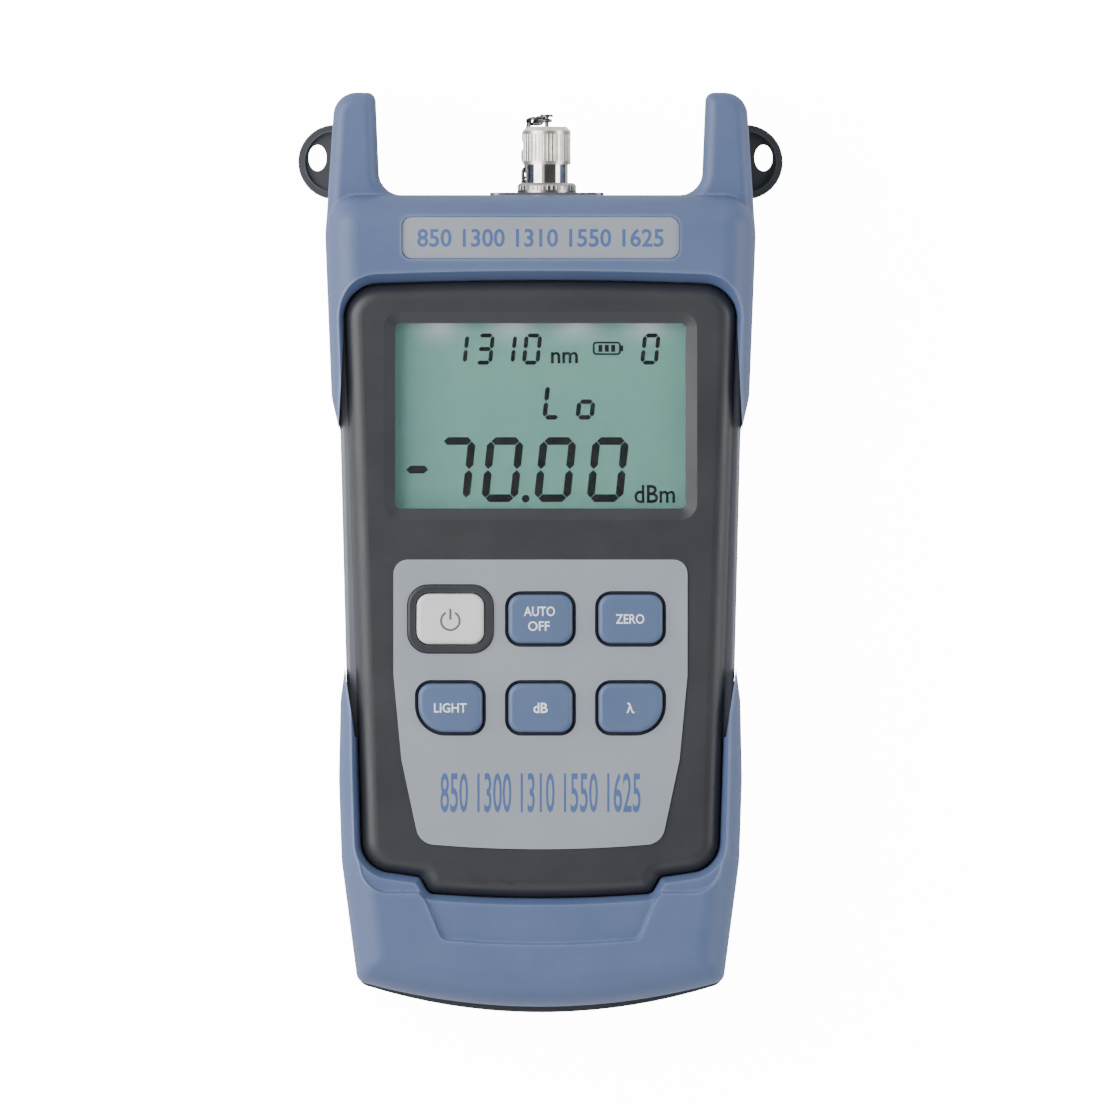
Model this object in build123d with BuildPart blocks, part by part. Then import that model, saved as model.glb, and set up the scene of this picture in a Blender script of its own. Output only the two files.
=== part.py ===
from build123d import *
import math
import os

os.makedirs("parts", exist_ok=True)

# Case. X runs across the face, Y towards the optical port, Z out of the face
case_length = 175.0
case_depth = 33.0
top_width = 81.8
lower_width = 76.6
foot_width = 69.6
rear_depth = 13.0
brow_height = 6.0
wall = 2.2
bumper_wall = 2.3
end_cover = 1.6
fit_gap = 0.12
rear_inset = 0.35
rear_step = 2.75
edge_round = 6.2
knee_round = 12.4
foot_side_round = 18.6
rear_round = 2.6

# Horns beside the port, and the rounded foot
horn_length = 19.5
horn_tip_width = 78.2
horn_gap = 62.8
horn_root_round = 4.5
horn_tip_round = 4.4
horn_inner_round = 1.6
horn_edge_round = 2.4
horn_overlap = 14.0
shoulder_drop = 8.0
shoulder_slant = 0.4
foot_sag = 5.5
foot_lip = 1.3
foot_lift = 0.7
foot_corner_round = 2.0
case_corner_round = 7.0

# Arms of the two bumpers: the upper ones from the end face of the case, the lower ones from its foot
arm_root_drop = 23.0
arm_knee_drop = 38.5
arm_tip_drop = 44.2
arm_knee_width = 79.4
low_tip_rise = 65.4
low_knee_rise = 59.5
low_root_rise = 52.5
low_wide_rise = 44.5
low_taper_rise = 29.1
low_taper_width = 75.6
low_knee_width = 76.0
arm_tip_wall = 0.3
arm_wall_share = 0.78
waist_round = 40.0

# Charcoal front panel, and the bright strip of the case that shows beside it
rim = 1.35
chin_rim = 1.9
panel_drop = 16.3
panel_height = 4.2
panel_skin = 1.5
panel_edge_round = 3.3
panel_corner_round = 6.5
panel_chin_rise = 27.6
panel_chin_drop = 1.6
panel_crown = 0.9
panel_chin_round = 6.0
panel_step_width = 45.6
panel_step = 0.9
panel_step_slant = 1.7
panel_foot_rise = 22.0
panel_foot_round = 1.6
opening_gap = 0.15
opening_flare = 1.7

# Display window and the sloped frame round it. Its height is a share of the panel's length
window_drop = 8.1
window_width = 55.1
window_height_share = 0.3
window_corner = 1.0
frame_margin = 2.2
frame_depth = 0.75
lip = 1.0
window_seat = 2.0
window_thick = 1.4
glass_width = 58.0
glass_margin = 3.2
glass_thick = 2.4
guide_thick = 2.8
segment_thick = 0.1
display_gap = 0.5
led_width = 3.0
led_height = 1.6
led_thick = 1.2
led_count = 4
led_pitch = 13.2
strip_width = 1.8

# Digits on the display. They lean to the right by an angle
digit_lean = 6.0
small_digit_width = 3.3
small_digit_height = 5.9
small_stroke = 0.75
middle_digit_width = 3.5
middle_digit_height = 6.8
middle_stroke = 0.85
big_digit_width = 6.9
big_digit_height = 12.3
big_stroke = 1.45
minus_share = 0.84
segment_split = 0.2

# Main board
board_thick = 1.6
board_width = 62.0
board_above = 6.0
board_below = 12.5
board_screw_inset = 3.0
board_post = 5.0
board_screw = 2.5
board_head = 4.4
board_head_thick = 1.4
board_socket = 0.9
chip_size = 10.0
chip_thick = 1.6
amplifier_width = 6.0
amplifier_height = 5.0
capacitor = 5.0
capacitor_length = 6.0

# Silver keypad plate. Its place and length are shares of the panel's length
plate_drop_share = 0.452
plate_width = 55.8
plate_length_share = 0.469
plate_thick = 0.8
plate_proud = 0.3
plate_corner = 2.7
plate_waist_share = 0.4
plate_cheek_share = 0.69
plate_cheek_width = 52.8
plate_chin_width = 46.0
plate_sag = 1.1
plate_waist_round = 9.7
plate_chin_round = 3.6

# Keys. Their rows and heights are shares of the keypad plate's length
key_pitch_x = 17.1
key_pitch_share = 0.307
key_row_share = 0.205
key_width = 12.2
key_height_share = 0.169
key_corner = 2.4
key_big_corner = 5.2
key_gap = 0.2
key_shadow = 0.45
key_proud = 1.1
key_flange = 0.7
key_flange_thick = 1.3
key_flange_gap = 0.3
key_edge_round = 0.9
key_nub_width = 5.0
key_nub_length = 1.5
power_width = 12.8
power_height_share = 0.175
ring_width = 16.3
ring_height_share = 0.236
ring_corner = 4.0
ring_proud = 0.85
ring_edge_round = 0.5
mat_thick = 1.0
dome_taper = 8.0
dome_share = 0.72
dome_gap = 0.3

# Name plate in the upper bumper
name_width = 52.5
name_height = 7.8
name_corner = 1.8
name_drop = 8.2
name_recess = 0.9
name_thick = 0.5

# Thumb recess in the lower bumper
thumb_top_width = 45.6
thumb_foot_width = 37.0
thumb_length = 10.2
thumb_depth = 1.1
thumb_sag = 0.9
thumb_round = 1.6
thumb_overlap = 2.6

# Shelf in the lower bumper, outside the lower corners of the panel
shelf_rise = 23.3
shelf_length = 13.5
shelf_top_width = 71.0
shelf_foot_width = 66.8
shelf_round = 5.5

# Optical port. Its axis runs along Y
port_x = 1.2
port_z = 16.5
port_plate_width = 21.6
port_plate_height = 15.0
port_plate_corner = 2.0
port_plate_proud = 0.5
barrel = 8.05
barrel_length = 10.6
flange = 13.0
flange_thick = 2.0
port_tail = 9.0
port_tail_length = 8.0
ferrule = 2.5
sleeve_wall = 0.5
sleeve_length = 11.0
nut_width = 11.2
nut_thick = 1.4
nut_round = 0.8
ring_thick = 0.5
detector = 4.7
detector_rim = 5.4
detector_rim_thick = 0.8
detector_length = 3.6
lead = 0.45
lead_length = 5.0
lead_circle = 1.27

# Dust cap with its rivet and chain
cap = 9.1
cap_length = 7.2
cap_top = 1.3
cap_fit = 0.05
cap_chamfer = 0.8
seal_thick = 0.5
rivet = 0.8
rivet_head = 2.4
rivet_head_thick = 0.5
rivet_rise = 2.35
rivet_sink = 0.7
rivet_fit = 0.05
knurl_count = 40
knurl_width = 0.45
link_wire = 0.42
link_round = 0.68
link_straight = 1.0
link_slack = 0.12
ring_tab_width = 1.9
ring_tab_gap = 0.35
ring_tab_angle = 130

# Strap lugs of the rear housing
lug_radius = 7.1
lug_drop = 6.5
lug_thick = 3.6
lug_floor = 3.6
lug_rim = 1.3
lug_rim_rise = 0.9
lug_hole_width = 3.4
lug_hole_height = 5.0
lug_hole_out = 3.4
lug_hole_rise = 0.8

# Cells and their tray
cell_radius = 7.15
cell_length = 49.2
cell_nipple = 2.75
cell_nipple_length = 1.3
cell_gap = 0.5
cell_pitch = 15.3
spring_space = 4.6
contact_thick = 0.4
contact_width = 9.0
spring_wire = 0.7
spring_turns = 4
tray_wall = 1.3
tray_gap = 0.5
tray_rise = 26.0
door_thick = 1.6
door_sink = 0.4
door_ledge = 1.5
door_gap = 0.3
door_corner = 1.2
door_hinge_round = 0.7
door_grip_length = 14.0
door_grip_width = 1.2
door_grip_depth = 0.4
door_grip_count = 5
door_pin = 1.2
door_pin_length = 1.1

# Housing screws
screw = 3.0
screw_fit = 0.02
screw_clear = 0.2
screw_head = 5.4
screw_head_thick = 2.0
screw_sink = 3.2
screw_grip = 8.0
screw_inset = 5.6
boss = 8.0
socket_width = 2.0
socket_depth = 1.1
label_width = 46.0
label_height = 26.0
label_depth = 0.3
label_corner = 3.0

# Levels that follow from the sizes above
y_tip = case_length / 2
y_foot = -y_tip
y_end = y_tip - horn_length
y_wall = y_end - end_cover
y_shoulder = y_end - shoulder_drop
y_port = y_end + port_plate_proud
bumper_foot = y_foot + foot_lip
case_foot = bumper_foot + bumper_wall
rear_corner_y = y_foot + foot_sag
bumper_corner_y = rear_corner_y + foot_lift
case_corner_y = bumper_corner_y + bumper_wall
front_z = case_depth - brow_height
panel_z = front_z + panel_height
taper_y = y_foot + low_taper_rise
overrun = wall


def shell_half(y):
    """Half width of the case, which narrows evenly down to the taper and faster below it."""
    upper = top_width / 2 - bumper_wall * arm_wall_share
    middle = low_taper_width / 2 - bumper_wall * arm_wall_share
    lower = foot_width / 2 - bumper_wall
    if y > taper_y:
        return middle + (upper - middle) * (y - taper_y) / (y_wall - taper_y)
    return lower + (middle - lower) * (y - case_corner_y) / (taper_y - case_corner_y)


def outline(points, radii):
    """Closed outline from its right half, with the left half mirrored."""
    FilletPolyline(*points, radius=radii)
    mirror(about=Plane.YZ)


def foot_outline(points, radii, low_y):
    """Outline as above, closed at the foot by an arc that reaches down to low_y."""
    outline(points, radii)
    half, corner_y = points[-1]
    ThreePointArc((half, corner_y), (0, low_y), (-half, corner_y))


def arched_outline(points, radii, low_y, high_y):
    """Outline from its right half, closed by an arc at the foot and one at the top."""
    foot_outline(points, radii, low_y)
    half, corner_y = points[0]
    ThreePointArc((half, corner_y), (0, high_y), (-half, corner_y))


def port_plane(y):
    """Plane across the axis of the optical port, facing outwards."""
    return Plane(origin=(port_x, y, port_z), x_dir=(1, 0, 0), z_dir=(0, 1, 0))


case_points = [
    (0, y_wall),
    (shell_half(y_wall), y_wall),
    (shell_half(taper_y), taper_y),
    (shell_half(case_corner_y), case_corner_y),
]
case_radii = [case_corner_round, waist_round]

horn_points = [
    (0, y_end),
    (horn_gap / 2 - end_cover / 2, y_end),
    (horn_gap / 2, y_tip),
    (horn_tip_width / 2, y_tip),
    (top_width / 2, y_shoulder),
]
horn_radii = [horn_root_round, horn_inner_round, horn_tip_round]

panel_top_y = y_end - panel_drop
panel_foot_y = y_foot + panel_foot_rise
panel_chin_y = y_foot + panel_chin_rise
panel_length = panel_top_y - panel_foot_y
panel_points = [
    (shell_half(panel_top_y) - rim, panel_top_y - panel_crown),
    (shell_half(panel_chin_y) - chin_rim, panel_chin_y),
    (panel_step_width / 2, panel_chin_y - panel_chin_drop),
    (panel_step_width / 2 - panel_step_slant, panel_foot_y + panel_step),
]
panel_radii = [panel_chin_round, panel_foot_round / 2]

window_height = panel_length * window_height_share
window_y = panel_top_y - window_drop - window_height / 2
glass_height = window_height + glass_margin
plate_top_y = panel_top_y - panel_length * plate_drop_share
plate_length = panel_length * plate_length_share
key_row_drop = plate_length * key_row_share
key_pitch_y = plate_length * key_pitch_share
key_height = plate_length * key_height_share
power_height = plate_length * power_height_share
ring_height = plate_length * ring_height_share
key_top_y = plate_top_y - key_row_drop
key_low_y = key_top_y - key_pitch_y
key_places = {
    "key_power": (-key_pitch_x, key_top_y),
    "key_auto_off": (0, key_top_y),
    "key_zero": (key_pitch_x, key_top_y),
    "key_light": (-key_pitch_x, key_low_y),
    "key_db": (0, key_low_y),
    "key_lambda": (key_pitch_x, key_low_y),
}
keypad_y = (key_top_y + key_low_y) / 2
plate_points = [
    (0, plate_top_y),
    (plate_width / 2, plate_top_y),
    (plate_width / 2, plate_top_y - plate_length * plate_waist_share),
    (plate_cheek_width / 2, plate_top_y - plate_length * plate_cheek_share),
    (plate_chin_width / 2, plate_top_y - plate_length + plate_sag),
]
plate_radii = [plate_corner, plate_waist_round, plate_waist_round]
keypad_width = 2 * key_pitch_x + key_width
keypad_height = key_pitch_y + key_height

# Stack behind the display, from the panel's lip down to the board
window_top = panel_z - frame_depth - lip
glass_top = window_top - window_thick - display_gap
guide_top = glass_top - glass_thick
board_z = guide_top - guide_thick
board_top_y = window_y + glass_height / 2 + board_above
board_foot_y = key_low_y - board_below
plate_floor = panel_z + plate_proud - plate_thick
hollow_top = plate_floor - panel_skin
flange_top = hollow_top - key_flange_gap
key_room_width = 2 * key_pitch_x + power_width + 2 * (key_flange + display_gap)
key_room_height = key_pitch_y + power_height + 2 * (key_flange + display_gap)

tray_half = cell_pitch + cell_radius + tray_gap
tray_foot_y = y_foot + tray_rise
tray_length = cell_length + cell_nipple_length + spring_space + contact_thick
tray_top_y = tray_foot_y + tray_length
tray_middle_y = (tray_top_y + tray_foot_y) / 2
tray_floor = door_sink + door_thick + cell_gap
tray_roof = tray_floor + 2 * cell_radius + tray_gap
cell_z = tray_floor + cell_radius
door_width = 2 * (tray_half + door_ledge)
door_length = tray_length + 2 * door_ledge
door_axis_y = tray_middle_y + door_length / 2 - door_thick / 2
door_axis_z = door_sink + door_thick / 2

screw_top_y = y_wall - screw_inset
screw_low_y = case_corner_y + screw_inset / 2
screw_places = []
for side in (-1, 1):
    screw_places.append((side * (shell_half(screw_top_y) - screw_inset), screw_top_y))
    screw_places.append((side * (shell_half(screw_low_y) - screw_inset), screw_low_y))
board_screw_x = board_width / 2 - board_screw_inset
board_screw_places = []
for side in (-1, 1):
    board_screw_places.append((side * board_screw_x, board_top_y - board_screw_inset))
    board_screw_places.append((side * board_screw_x, board_foot_y + board_screw_inset))


# Rear housing: dark shell with the strap lugs, the cell tray and the screw bosses. Its outline lies a
# little inside the bumpers and the case
rear_points = [
    (0, y_end - rear_inset),
    (horn_gap / 2 - end_cover / 2 + rear_inset, y_end - rear_inset),
    (horn_gap / 2 + rear_inset, y_tip - rear_inset),
    (horn_tip_width / 2 - rear_inset, y_tip - rear_inset),
    (top_width / 2 - rear_inset, y_shoulder),
    (arm_knee_width / 2 - rear_inset, y_end - arm_knee_drop),
    (shell_half(y_end - arm_tip_drop) - rear_inset, y_end - arm_tip_drop - rear_step),
    (shell_half(y_foot + low_tip_rise) - rear_inset, y_foot + low_tip_rise + rear_step),
    (low_knee_width / 2 - rear_inset, y_foot + low_root_rise),
    (lower_width / 2 - rear_inset, y_foot + low_wide_rise),
    (foot_width / 2 - rear_inset, rear_corner_y),
]
rear_radii = horn_radii + [waist_round] * 6

with BuildPart() as rear_housing:
    with BuildSketch(Plane.XY) as rear_outline:
        with BuildLine():
            foot_outline(rear_points, rear_radii, y_foot)
        make_face()
        foot_corners = rear_outline.vertices().group_by(Axis.Y)[0]
        fillet(foot_corners, radius=foot_corner_round)
    extrude(amount=rear_depth)
    fillet(rear_housing.faces().sort_by(Axis.Z)[0].outer_wire().edges(), radius=rear_round)
    # Strap lugs, with a raised rim round each plate
    for side in (-1, 1):
        lug_x = side * (horn_tip_width / 2)
        hole_x = lug_x + side * lug_hole_out
        lug_y = y_end + lug_drop
        with BuildSketch(Plane.XY.offset(lug_floor)) as lug_plate:
            with Locations((lug_x, lug_y)):
                Circle(lug_radius)
            with Locations((lug_x - side * lug_radius, lug_y)):
                Rectangle(2 * lug_radius, 4 * lug_radius, mode=Mode.SUBTRACT)
        extrude(amount=lug_thick)
        with BuildSketch(Plane.XY.offset(lug_floor - lug_rim_rise)) as lug_edge:
            with Locations((lug_x, lug_y)):
                Circle(lug_radius)
                Circle(lug_radius - lug_rim, mode=Mode.SUBTRACT)
            with Locations((lug_x - side * lug_radius, lug_y)):
                Rectangle(2 * lug_radius, 4 * lug_radius, mode=Mode.SUBTRACT)
        extrude(amount=lug_thick + 2 * lug_rim_rise)
        with BuildSketch(Plane.XY.offset(lug_floor)) as lug_hole:
            with Locations((hole_x, lug_y + lug_hole_rise)):
                Ellipse(lug_hole_width / 2, lug_hole_height / 2)
        extrude(amount=lug_thick, mode=Mode.SUBTRACT)
    # Room inside the shell
    with BuildSketch(Plane.XY.offset(wall)) as rear_room:
        with BuildLine():
            foot_outline(case_points, case_radii, case_foot)
        make_face()
        offset(amount=-wall, kind=Kind.INTERSECTION)
    extrude(amount=rear_depth, mode=Mode.SUBTRACT)
    # Tray for the cells, its roof carried up into the front half
    with BuildSketch(Plane.XY.offset(wall)) as tray_block:
        with Locations((0, tray_middle_y)):
            Rectangle(2 * (tray_half + tray_wall), tray_length + 2 * tray_wall)
    extrude(amount=tray_roof + tray_wall - wall)
    with BuildSketch(Plane.XY.offset(wall)) as door_frame:
        with Locations((0, tray_middle_y)):
            Rectangle(door_width + 2 * wall, door_length + 2 * wall)
    extrude(amount=door_sink + door_thick + door_gap + tray_wall - wall)
    with BuildSketch(Plane.XY) as tray_room:
        with Locations((0, tray_middle_y)):
            Rectangle(2 * tray_half, tray_length)
    extrude(amount=tray_roof, mode=Mode.SUBTRACT)
    with BuildSketch(Plane.XY) as door_seat:
        with Locations((0, tray_middle_y)):
            RectangleRounded(
                door_width + 2 * door_gap, door_length + 2 * door_gap, door_corner - door_gap
            )
    extrude(amount=door_sink + door_thick + door_gap, mode=Mode.SUBTRACT)
    with BuildSketch(Plane.YZ) as door_pin_holes:
        with Locations((door_axis_y, door_axis_z)):
            Circle(door_pin / 2 + rivet_fit)
    extrude(amount=door_width / 2 + door_pin_length + door_gap, both=True, mode=Mode.SUBTRACT)
    # Bosses for the housing screws
    with BuildSketch(Plane.XY.offset(wall)) as rear_bosses:
        with Locations(*screw_places):
            Circle(boss / 2)
    extrude(amount=rear_depth - wall)
    with BuildSketch(Plane.XY) as rear_sinks:
        with Locations(*screw_places):
            Circle(screw_head / 2 + screw_clear)
    extrude(amount=screw_sink, mode=Mode.SUBTRACT)
    with BuildSketch(Plane.XY) as rear_screw_holes:
        with Locations(*screw_places):
            Circle(screw / 2 + screw_clear)
    extrude(amount=rear_depth, mode=Mode.SUBTRACT)
    # Bare recess for a label above the door
    with BuildSketch(Plane.XY) as label_recess:
        with Locations((0, (tray_top_y + y_end) / 2)):
            RectangleRounded(label_width, label_height, label_corner)
    extrude(amount=label_depth, mode=Mode.SUBTRACT)
    # Opening in the end wall for the optical adapter
    with BuildSketch(port_plane(y_wall - 2 * wall)) as rear_port_hole:
        Circle(flange / 2 + fit_gap)
    extrude(amount=4 * wall, mode=Mode.SUBTRACT)
    with BuildSketch(port_plane(y_wall)) as rear_plate_slot:
        Rectangle(port_plate_width + 2 * fit_gap, port_plate_height + 2 * fit_gap)
    extrude(amount=2 * end_cover, mode=Mode.SUBTRACT)
rear_housing.part.label = "rear_housing"
export_step(rear_housing.part, "parts/rear_housing.step")

# Front housing: silver-grey shell with openings for the display and the keys
with BuildPart() as front_housing:
    with BuildSketch(Plane.XY.offset(rear_depth)) as front_outline:
        with BuildLine():
            foot_outline(case_points, case_radii, case_foot)
        make_face()
        foot_corners = front_outline.vertices().group_by(Axis.Y)[0]
        fillet(foot_corners, radius=foot_corner_round)
    extrude(amount=front_z - rear_depth)
    fillet(front_housing.faces().sort_by(Axis.Z)[-1].outer_wire().edges(), radius=rim * 2 / 3)
    with BuildSketch(Plane.XY.offset(rear_depth)) as front_room:
        with BuildLine():
            foot_outline(case_points, case_radii, case_foot)
        make_face()
        offset(amount=-wall, kind=Kind.INTERSECTION)
    extrude(amount=front_z - rear_depth - wall, mode=Mode.SUBTRACT)
    with BuildSketch(Plane.XY.offset(rear_depth)) as front_posts:
        with Locations(*screw_places):
            Circle(boss / 2)
    extrude(amount=front_z - rear_depth - wall)
    with BuildSketch(Plane.XY.offset(rear_depth)) as front_pilot_holes:
        with Locations(*screw_places):
            Circle(screw / 2 + screw_fit)
    extrude(amount=screw_grip + screw_clear, mode=Mode.SUBTRACT)
    with BuildSketch(Plane.XY.offset(board_z)) as board_posts:
        with Locations(*board_screw_places):
            Circle(board_post / 2)
    extrude(amount=front_z - wall - board_z)
    with BuildSketch(Plane.XY.offset(board_z)) as board_pilot_holes:
        with Locations(*board_screw_places):
            Circle(board_screw / 2 + screw_fit)
    extrude(amount=front_z - wall - board_z, mode=Mode.SUBTRACT)
    with BuildSketch(Plane.XY.offset(front_z - 2 * wall)) as display_hole:
        with Locations((0, window_y)):
            Rectangle(glass_width + 2 * fit_gap, glass_height + 2 * fit_gap)
    extrude(amount=3 * wall, mode=Mode.SUBTRACT)
    with BuildSketch(Plane.XY.offset(front_z - 2 * wall)) as keypad_hole:
        with Locations((0, keypad_y)):
            RectangleRounded(key_room_width, key_room_height, key_corner)
    extrude(amount=3 * wall, mode=Mode.SUBTRACT)
    with BuildSketch(port_plane(y_wall - 2 * wall)) as front_port_hole:
        Circle(flange / 2 + fit_gap)
    extrude(amount=4 * wall, mode=Mode.SUBTRACT)
front_housing.part.label = "front_housing"
export_step(front_housing.part, "parts/front_housing.step")


def key_face(name, grow):
    """Face of a key, or of a hole round it, with the wide curve that two keys have."""
    x = (power_width if name == "key_power" else key_width) / 2 + grow
    y = (power_height if name == "key_power" else key_height) / 2 + grow
    left = key_big_corner if name == "key_light" else key_corner
    right = key_big_corner if name == "key_lambda" else key_corner
    radii = [left + grow, right + grow, key_corner + grow, key_corner + grow]
    return make_face(FilletPolyline((-x, -y), (x, -y), (x, y), (-x, y), radius=radii, close=True))


key_faces = {name: key_face(name, 0) for name in key_places}
skirt_faces = {name: key_face(name, key_flange) for name in key_places}
panel_holes = {name: key_face(name, key_gap) for name in key_places}
plate_holes = {name: key_face(name, key_gap + key_shadow) for name in key_places}


# Charcoal front panel with the sloped display frame and the ring of the power key
power_x, power_y = key_places["key_power"]
with BuildPart() as front_panel:
    with BuildSketch(Plane.XY.offset(front_z)) as panel_outline:
        with BuildLine():
            arched_outline(panel_points, panel_radii, panel_foot_y, panel_top_y)
        make_face()
        fillet(panel_outline.vertices().group_by(Axis.Y)[-1], radius=panel_corner_round)
        fillet(panel_outline.vertices().group_by(Axis.Y)[0], radius=panel_foot_round)
    extrude(amount=panel_height)
    fillet(
        front_panel.faces().sort_by(Axis.Z)[-1].outer_wire().edges(), radius=panel_edge_round
    )
    with BuildSketch(Plane.XY.offset(plate_floor)) as plate_recess:
        with BuildLine():
            foot_outline(plate_points, plate_radii, plate_top_y - plate_length)
        make_face()
        fillet(plate_recess.vertices().group_by(Axis.Y)[0], radius=plate_chin_round)
        offset(amount=fit_gap)
    extrude(amount=plate_thick + panel_edge_round, mode=Mode.SUBTRACT)
    # Window frame: a sloped recess, a lip, and the seat of the window behind it
    with BuildSketch(Plane.XY.offset(panel_z - frame_depth)) as frame_low:
        with Locations((0, window_y)):
            RectangleRounded(window_width, window_height, window_corner)
    with BuildSketch(Plane.XY.offset(panel_z)) as frame_high:
        with Locations((0, window_y)):
            RectangleRounded(
                window_width + 2 * frame_margin,
                window_height + 2 * frame_margin,
                window_corner + frame_margin,
            )
    loft(mode=Mode.SUBTRACT)
    with BuildSketch(Plane.XY.offset(front_z)) as window_hole:
        with Locations((0, window_y)):
            RectangleRounded(window_width, window_height, window_corner)
    extrude(amount=panel_height, mode=Mode.SUBTRACT)
    with BuildSketch(Plane.XY.offset(front_z)) as window_pocket:
        with Locations((0, window_y)):
            Rectangle(
                window_width + 2 * window_seat + 2 * fit_gap,
                window_height + 2 * window_seat + 2 * fit_gap,
            )
    extrude(amount=window_top - front_z, mode=Mode.SUBTRACT)
    # Hollow behind the keys, their holes, and the raised ring round the power key
    with BuildSketch(Plane.XY.offset(front_z)) as key_pocket:
        with Locations((0, keypad_y)):
            RectangleRounded(key_room_width, key_room_height, key_corner)
    extrude(amount=hollow_top - front_z, mode=Mode.SUBTRACT)
    with BuildSketch(Plane.XY.offset(plate_floor)) as power_ring:
        with Locations((power_x, power_y)):
            RectangleRounded(ring_width, ring_height, ring_corner)
    extrude(amount=panel_z + ring_proud - plate_floor)
    ring_top = front_panel.faces().sort_by(Axis.Z)[-1]
    fillet(ring_top.outer_wire().edges(), radius=ring_edge_round)
    with BuildSketch(Plane.XY.offset(front_z)) as key_holes:
        for name, place in key_places.items():
            with Locations(place):
                add(panel_holes[name])
    extrude(amount=panel_height + ring_proud, mode=Mode.SUBTRACT)
front_panel.part.label = "front_panel"
export_step(front_panel.part, "parts/front_panel.step")

# Silver keypad plate, with shadow gaps round the keys
with BuildPart() as keypad_plate:
    with BuildSketch(Plane.XY.offset(plate_floor)) as plate_outline:
        with BuildLine():
            foot_outline(plate_points, plate_radii, plate_top_y - plate_length)
        make_face()
        fillet(plate_outline.vertices().group_by(Axis.Y)[0], radius=plate_chin_round)
        for name, place in key_places.items():
            with Locations(place):
                if name == "key_power":
                    RectangleRounded(
                        ring_width + 2 * fit_gap,
                        ring_height + 2 * fit_gap,
                        ring_corner + fit_gap,
                        mode=Mode.SUBTRACT,
                    )
                else:
                    add(plate_holes[name], mode=Mode.SUBTRACT)
    extrude(amount=plate_thick)
keypad_plate.part.label = "keypad_plate"
export_step(keypad_plate.part, "parts/keypad_plate.step")

# Keys: a cap with a flange that keeps it in, and a nub that presses the mat's dome
key_top = panel_z + plate_proud + key_proud
for name, place in key_places.items():
    with BuildPart() as key:
        with BuildSketch(Plane.XY.offset(flange_top)) as key_cap:
            with Locations(place):
                add(key_faces[name])
        extrude(amount=key_top - flange_top)
        fillet(key.faces().sort_by(Axis.Z)[-1].edges(), radius=key_edge_round)
        with BuildSketch(Plane.XY.offset(flange_top - key_flange_thick)) as key_skirt:
            with Locations(place):
                add(skirt_faces[name])
        extrude(amount=key_flange_thick)
        with BuildSketch(Plane.XY.offset(flange_top - key_flange_thick)) as key_nub:
            with Locations(place):
                Circle(key_nub_width / 2)
        extrude(amount=-key_nub_length)
    key.part.label = name
    export_step(key.part, "parts/" + name + ".step")

# Silicone mat on the board, with a dome under each key
nub_foot = flange_top - key_flange_thick - key_nub_length
dome_height = nub_foot - dome_gap - board_z - mat_thick
with BuildPart() as keypad_mat:
    with BuildSketch(Plane.XY.offset(board_z)) as mat_sheet:
        with Locations((0, keypad_y)):
            RectangleRounded(keypad_width, keypad_height, key_corner)
    extrude(amount=mat_thick)
    with BuildSketch(Plane.XY.offset(board_z + mat_thick)) as mat_domes:
        with Locations(*key_places.values()):
            Circle(key_nub_width * dome_share)
    extrude(amount=dome_height, taper=dome_taper)
    with BuildSketch(Plane.XY.offset(board_z)) as dome_rooms:
        with Locations(*key_places.values()):
            Circle(key_nub_width * dome_share - mat_thick)
    extrude(amount=dome_height, taper=dome_taper, mode=Mode.SUBTRACT)
keypad_mat.part.label = "keypad_mat"
export_step(keypad_mat.part, "parts/keypad_mat.step")

# Clear window, glued behind the panel's lip
with BuildPart() as display_window:
    with BuildSketch(Plane.XY.offset(window_top)) as window_face:
        with Locations((0, window_y)):
            Rectangle(window_width + 2 * window_seat, window_height + 2 * window_seat)
    extrude(amount=-window_thick)
display_window.part.label = "display_window"
export_step(display_window.part, "parts/display_window.step")

# Liquid crystal glass, on its light guide
with BuildPart() as lcd_glass:
    with BuildSketch(Plane.XY.offset(guide_top)) as glass_face:
        with Locations((0, window_y)):
            Rectangle(glass_width, glass_height)
    extrude(amount=glass_thick)
lcd_glass.part.label = "lcd_glass"
export_step(lcd_glass.part, "parts/lcd_glass.step")

# Light guide behind the glass, and its lamps on the board
guide_height = glass_height - 2 * (strip_width + fit_gap)
with BuildPart() as lcd_backlight:
    with BuildSketch(Plane.XY.offset(board_z)) as guide_face:
        with Locations((0, window_y)):
            Rectangle(glass_width, guide_height)
        with Locations((0, window_y + guide_height / 2 - led_height / 2)):
            with GridLocations(led_pitch, 0, led_count, 1):
                Rectangle(led_width + 2 * fit_gap, led_height + 2 * fit_gap, mode=Mode.SUBTRACT)
    extrude(amount=guide_thick)
lcd_backlight.part.label = "lcd_backlight"
export_step(lcd_backlight.part, "parts/lcd_backlight.step")

with BuildPart() as backlight_leds:
    with Locations((0, window_y + guide_height / 2 - led_height / 2, board_z)):
        with GridLocations(led_pitch, 0, led_count, 1):
            Box(led_width, led_height, led_thick, align=(Align.CENTER, Align.CENTER, Align.MIN))
backlight_leds.part.label = "backlight_leds"
export_step(backlight_leds.part, "parts/backlight_leds.step")

# Conductive rubber strips between the glass and the board
with BuildPart() as rubber_strips:
    with Locations((0, window_y, board_z)):
        with GridLocations(0, glass_height - strip_width, 1, 2):
            Box(
                glass_width - 2 * strip_width,
                strip_width,
                guide_thick,
                align=(Align.CENTER, Align.CENTER, Align.MIN),
            )
rubber_strips.part.label = "rubber_strips"
export_step(rubber_strips.part, "parts/rubber_strips.step")

# Display segments: dark bars on the glass
segments_of = {
    "0": "abcdef",
    "1": "bc",
    "3": "abcdg",
    "7": "abc",
    "L": "def",
    "o": "cdeg",
    "-": "g",
}


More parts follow.
